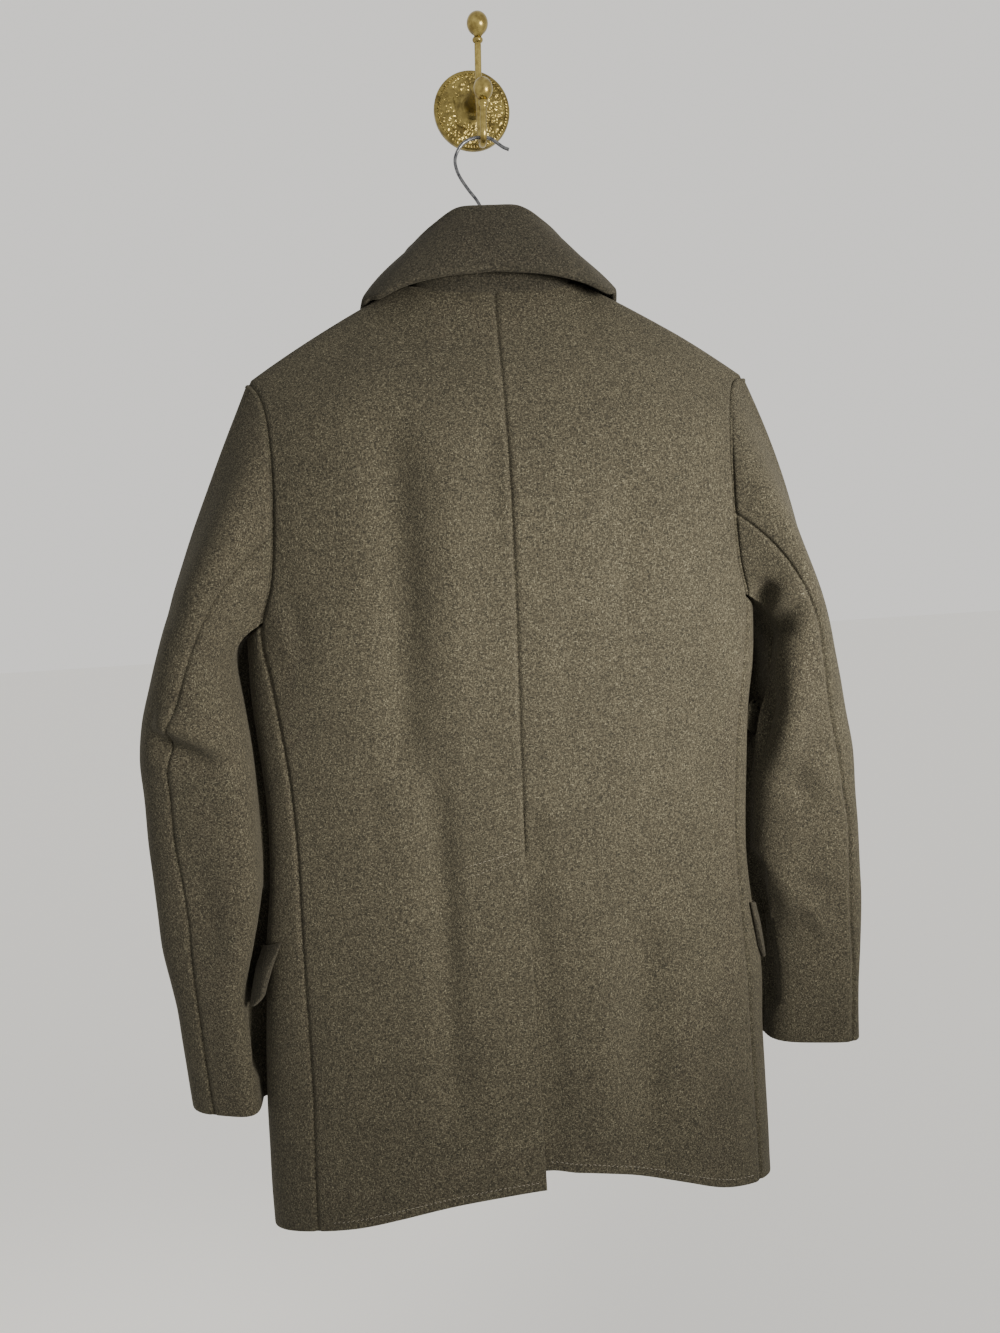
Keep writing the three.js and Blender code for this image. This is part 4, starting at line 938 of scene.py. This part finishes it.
def disc_grid(radii, sectors):
    angle = np.linspace(0, 2 * math.pi, sectors, endpoint=False)
    r, a = np.meshgrid(radii, angle, indexing="ij")
    return r, a


def button_points():
    radii = np.concatenate([np.linspace(0.05, 12.6, 64), BUTTON_RADIUS - np.array([0.5, 0.15, 0, 0, 0.2, 0.9])])
    r, a = disc_grid(radii, 72)
    x, y = r * np.cos(a), r * np.sin(a)
    height = BUTTON_HEIGHT - DISH_DEPTH * smooth((9.6 - r) / 1.6) - 0.35 * smooth((r - 12.2) / 1.3)
    for sx in (-1, 1):
        for sy in (-1, 1):
            off = np.hypot(x - sx * HOLE_OFF, y - sy * HOLE_OFF)
            height = height - HOLE_DEPTH * smooth((HOLE_RADIUS + 0.2 - off) / 0.4)
    for row, level in zip(range(-4, 0), (BUTTON_HEIGHT - 0.9, 2.2, 0.9, 0.1)):
        height[row] = level
    return np.stack([x, height, y], -1)


threads = []
for number in range(1, 7):
    name = f"button_{number}"
    low, high = (np.array(v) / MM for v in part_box(name))
    middle = (low + high) / 2
    points = button_points()
    rings, sectors = points.shape[:2]
    faces = [f[::-1] for f in tube_faces(rings, sectors)]
    place = points.reshape(-1, 3) + [middle[0], low[1], middle[2]]
    button = mesh_object(f"{name}_horn", place, faces, button_horn, sharp=40)
    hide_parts(name)
    for sx in (-HOLE_OFF, HOLE_OFF):
        over = [(-HOLE_OFF, 1.6), (-1.4, 3.2), (0, 3.5), (1.4, 3.2), (HOLE_OFF, 1.6)]
        threads.append([(np.array([middle[0] + sx, low[1] + y, middle[2] + z]), np.array([0.0, 1.0, 0.0]))
                        for z, y in over])
sewn("button_threads", threads, dark_thread, radius=0.45)
print("six buttons,", 2 * BUTTON_RADIUS, "mm across")

# %% [markdown]
# ## Brass hook
# The plate is pressed and hammered brass with a beaded border, the prongs are bent rod with turned balls,
# and all of it is left satin. Brass is a metal, so its colour is its reflection, and the default IOR stays.
# Handling polishes the high spots and leaves brown oxide in the dips, so the colour follows a noise at
# 6 mm, and fine brushing lines 0.1 mm apart are drawn as a roughness noise.

# %% Brass and steel
def worn_metal(name, bright, dull, patch_mm, rough_low, rough_high, bump_mm):
    m = new_material(name)
    place = add_node(m, "TexCoord"), "Object"
    patch = noise(m, place, patch_mm, detail=4.0, roughness=0.6)
    tone = ramp(m, (patch, "Fac"), [(0.36, dull), (0.62, bright)])
    fine = noise(m, place, 0.625, detail=3.0)
    mixed = add_node(m, "Math", {"operation": "MULTIPLY_ADD"}, {0: (fine, "Fac"), 1: 0.5, 2: (patch, "Fac")})
    rough = remap(m, (mixed, 0), rough_high, rough_low, 0.5, 1.0)
    bump = add_node(m, "Bump", inputs={"Height": (fine, "Fac"), "Distance": bump_mm * MM, "Strength": 0.4})
    return surface(m, {"Base Color": (tone, 0), "Metallic": 1.0, "Roughness": (rough, 0), "Normal": (bump, 0)})


satin_brass = worn_metal("satin_brass", "#a39257", "#79693c", 6, 0.24, 0.36, 0.01)
plate_brass = worn_metal("hammered_brass", "#958650", "#675a34", 9, 0.3, 0.42, 0.02)
galvanised_wire = worn_metal("galvanised_wire", "#77787a", "#45464a", 4, 0.28, 0.42, 0.02)

# %% Wall plate
PLATE_RADIUS, PRONG_DEPTH, TIP_DEPTH, CRADLE_Z, HOOK_X, ROD = 35, 54, 71, -52, 1.5, 2.9
NECK_END = PRONG_DEPTH - 4.4
BEAD_RING, BEADS, BEAD_RADIUS = 31.4, 76, 1.1
DIMPLES, DIMPLE_MM, DIMPLE_DEPTH = 620, 2.7, 0.6
SECTORS, STEP_MM = 420, 0.55


def plate_outline():
    """Radius and height along the plate's face, from the end of the neck out and down the rim."""
    outline = [(0.05, NECK_END), (5, NECK_END), (5, 30), (5.4, 22), (6, 18), (6.8, 14.5), (8, 12), (10.5, 9),
               (13, 7.2), (16, 6), (20, 5.7), (24, 5.35), (29, 4.9), (31.4, 4.8), (33, 5.1), (33.8, 5.2),
               (34.4, 4.8), (34.8, 4.1), (35, 3.2), (35, 0), (0.05, 0)]
    fine = []
    for (r0, h0), (r1, h1) in zip(outline, outline[1:]):
        count = max(1, int(math.hypot(r1 - r0, h1 - h0) / STEP_MM))
        fine += [(lerp(r0, r1, i / count), lerp(h0, h1, i / count)) for i in range(count)]
    return np.array(fine + [outline[-1]])


outline = plate_outline()
r, a = disc_grid(outline[:, 0], SECTORS)
h = np.broadcast_to(outline[:, 1][:, None], r.shape).copy()
x, z = r * np.cos(a), r * np.sin(a)
on_face = (h > 3.5) & (r > 11) & (r < 33)
rng = np.random.default_rng(7)
spots = rng.uniform(-31, 31, (DIMPLES, 2))
gap = np.full(r.shape, 99.0)
for sx, sz in spots:
    gap = np.minimum(gap, np.hypot(x - sx, z - sz))
dimple = -DIMPLE_DEPTH * np.cos(np.clip(gap / DIMPLE_MM, 0, 1) * math.pi)
dimple = dimple * smooth((r - 12) / 3) * smooth(29.8 - r)
half_pitch = math.pi * BEAD_RING / BEADS
off_bead = half_pitch * (1 - 2 * np.abs((a * BEADS / (2 * math.pi)) % 1 - 0.5))
bead = np.sqrt(np.maximum(0, BEAD_RADIUS ** 2 - (r - BEAD_RING) ** 2 - off_bead ** 2))
h = np.where(on_face, h + dimple + bead, h)
faces = [f[::-1] for f in tube_faces(*r.shape)]
plate = mesh_object("hammered_plate", np.stack([x, -h, z], -1).reshape(-1, 3), faces, plate_brass, sharp=35)
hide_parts("wall_plate")
print("plate", 2 * PLATE_RADIUS, "mm across with", BEADS, "beads")


# %% Prongs and hanger
def bar(name, points, radii, sides, material, slot):
    """A round bar along a line of points, with a radius at each."""
    points, radii = np.asarray(points, float), np.asarray(radii, float)
    ahead_of = np.vstack([points[1:], points[-1:]])
    behind = np.vstack([points[:1], points[:-1]])
    along = unit(ahead_of - behind)
    across_it = np.array([1.0, 0, 0]) if abs(along[0, 0]) < 0.8 else np.array([0, 1.0, 0])
    rings = []
    turns = np.linspace(0, 2 * math.pi, sides, endpoint=False)[:, None]
    for p, d, radius in zip(points, along, radii):
        across_it = unit(across_it - d * across_it.dot(d))
        other = np.cross(d, across_it)
        rings.append(p + radius * (np.cos(turns) * across_it + np.sin(turns) * other))
    obj = mesh_object(name, np.concatenate(rings), tube_faces(len(rings), sides), material, sharp=60)
    return obj


def ball_end(centre, radius, stretch):
    c = -np.cos(np.linspace(0.16, 0.985, 22) * math.pi)
    points = centre + np.outer(c * radius * stretch, [0, 0, 1])
    return [(p, max(0.4, radius * math.sqrt(1 - k * k))) for p, k in zip(points, c)]


def upper_at(height, radius):
    return np.array([HOOK_X + (height - 4) * 0.02, -PRONG_DEPTH - 0.16 * max(0, height - 8), height]), radius


def lower_at(height, radius):
    return np.array([HOOK_X + 1.5 * smooth((height + 43) / 30), -TIP_DEPTH, height]), radius


def turned_ring(at, z0, z1, stem, most):
    """A small turned ring on a rod, as stations of a bar."""
    f = np.linspace(0, 1, 9)
    return [at(lerp(z0, z1, k), lerp(stem, most, math.sin(math.pi * k) ** 0.6)) for k in f]


stations = [upper_at(z, ROD) for z in (0.3, 4, 8, 12, 16, 20, 26, 31)]
stations += turned_ring(upper_at, 32.2, 36.8, 2.8, 4.6) + [upper_at(37.4, 3.2)]
stations += ball_end(upper_at(47, 1)[0], 9.2, 1.02)
upper = bar("upper_rod", *zip(*stations), 40, satin_brass, "brass")
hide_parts("upper_prong")

bend, centre_y = (TIP_DEPTH - PRONG_DEPTH) / 2, -(TIP_DEPTH + PRONG_DEPTH) / 2
stations = [(np.array([HOOK_X, -PRONG_DEPTH, z]), 3.6) for z in (-0.3, -10, -20, -32)]
for f in np.linspace(0, 1, 33):
    a = math.pi * f
    point = np.array([HOOK_X, centre_y + bend * math.cos(a), CRADLE_Z + bend - bend * math.sin(a)])
    stations.append((point, lerp(3.45, 2.8, f)))
stations += [lower_at(z, 2.8) for z in (-38, -32, -27)]
stations += turned_ring(lower_at, -25.4, -19.6, 2.8, 4.3) + [lower_at(-19.2, 3.1)]
stations += ball_end(lower_at(-11, 1)[0], 8.3, 1.12)
lower = bar("lower_rod", *zip(*stations), 40, satin_brass, "brass")
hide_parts("lower_prong")

# %% [markdown]
# ## Wire hanger
# One piece of galvanised steel wire, 2.9 mm thick: the hook, the neck, the shoulders under the coat's
# shoulder seams, the bottom bar, and three turns back round the neck. A spline through its bends is a tube.

# %% Hanger
WIRE_RADIUS, HANGER_GAP, HANGER_REACH = 1.45, 0.8, 203
depth = (TIP_DEPTH + PRONG_DEPTH) / 2
wire_top = CRADLE_Z + ROD + 0.3 + WIRE_RADIUS


def wire_at(x, z, d=depth):
    return [x, -d, z]


def under_shoulder(side, x):
    slope = float(crest(side, x + 1) - crest(side, x - 1)) / 2
    return float(crest(side, x)) - (CLOTH + HANGER_GAP + WIRE_RADIUS) * math.sqrt(1 + slope ** 2)


def hanger_points():
    hook = [(24, -57.5), (19, -55.5), (14, -52), (9, wire_top - 1.2), (4, wire_top), (-2, wire_top),
            (-8, wire_top - 1), (-15, -51.5), (-20.5, -57.5), (-23.6, -65.5), (-22.6, -74), (-19, -82),
            (-13, -91), (-6.5, -99.5), (-2, -109), (0, -120), (0, -152)]
    straight_to = HANGER_REACH - 14
    sides = {}
    for s in (LEFT, RIGHT):
        xs = np.linspace(NECK_HALF + 8, straight_to, 7)
        low = under_shoulder(s, straight_to)
        sides[s] = ([wire_at(COAT_X + s * x, under_shoulder(s, x)) for x in xs]
                    + [wire_at(COAT_X + s * (HANGER_REACH - short), low - drop)
                       for short, drop in ((5, 8), (0, 16), (3, 24), (12, 28))])
    points = [wire_at(x, z) for x, z in hook]
    points += [wire_at(3, -160), wire_at(14, -166, depth - 1), wire_at(40, -174)]
    points += sides[RIGHT] + sides[LEFT][::-1]
    points += [wire_at(-44, -176), wire_at(-16, -167, depth + 2), wire_at(-5, -160, depth + 3.4)]
    around = 2 * WIRE_RADIUS + 0.4
    for f in np.linspace(0.02, 1, 31):
        a = 6 * math.pi * f + math.pi / 2
        points.append([-around * math.cos(a), -depth - around * math.sin(a), lerp(-156, -132, f)])
    return points


wire = through(hanger_points(), 4)
radii = np.full(len(wire), WIRE_RADIUS)
hanger = bar("hanger_wire", wire, radii, 12, galvanised_wire, "steel")
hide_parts("hanger")
length = float(np.linalg.norm(np.diff(wire, axis=0), axis=1).sum())
print("wire", round(length), "mm long")

# %% [markdown]
# ## Light and floor
# Folds show when a light comes from the side. The key is a small disc with a narrow beam beside the coat, and
# a wide weak fill and a pale world keep its shadows soft. Spread is the beam's angle: a narrower one is brighter.

# %% Floor, lights and world
FLOOR_Z, FLOOR_REACH = -1.5, 12
floor_mesh = bpy.data.meshes.new("floor")
corners = ((-1, -1), (1, -1), (1, 1), (-1, 1))
floor_mesh.from_pydata([(x * FLOOR_REACH, y * FLOOR_REACH, FLOOR_Z) for x, y in corners], [], [(0, 1, 2, 3)])
floor = bpy.data.objects.new("floor", floor_mesh)
bpy.context.collection.objects.link(floor)
pale_paint = surface(new_material("pale_paint"), {"Base Color": srgb("#f8f7f4"), "Roughness": 0.95})
floor_mesh.materials.append(pale_paint)


def area_light(name, place, target, size, power, colour, spread=180):
    light = bpy.data.lights.new(name, "AREA")
    light.shape, light.size, light.energy, light.color = "DISK", size, power, srgb(colour)[:3]
    light.spread = math.radians(spread)
    obj = bpy.data.objects.new(name, light)
    obj.location = place
    obj.rotation_euler = (Vector(target) - Vector(place)).to_track_quat("-Z", "Y").to_euler()
    bpy.context.collection.objects.link(obj)


area_light("key", (0.66, -0.95, -0.4), (0.02, -0.1, -0.52), 0.4, 7.6, "#fffaf2", spread=66)
area_light("fill", (-1.6, -2.2, 0.4), (0.0, -0.1, -0.5), 2.0, 2, "#f4f6ff")

world = bpy.data.worlds.new("pale_studio")
world.use_nodes = True
background = world.node_tree.nodes["Background"]
background.inputs["Color"].default_value = srgb("#dddbd7")
background.inputs["Strength"].default_value = 1.35
bpy.context.scene.world = world
print("floor at", FLOOR_Z, "m, two area lights")
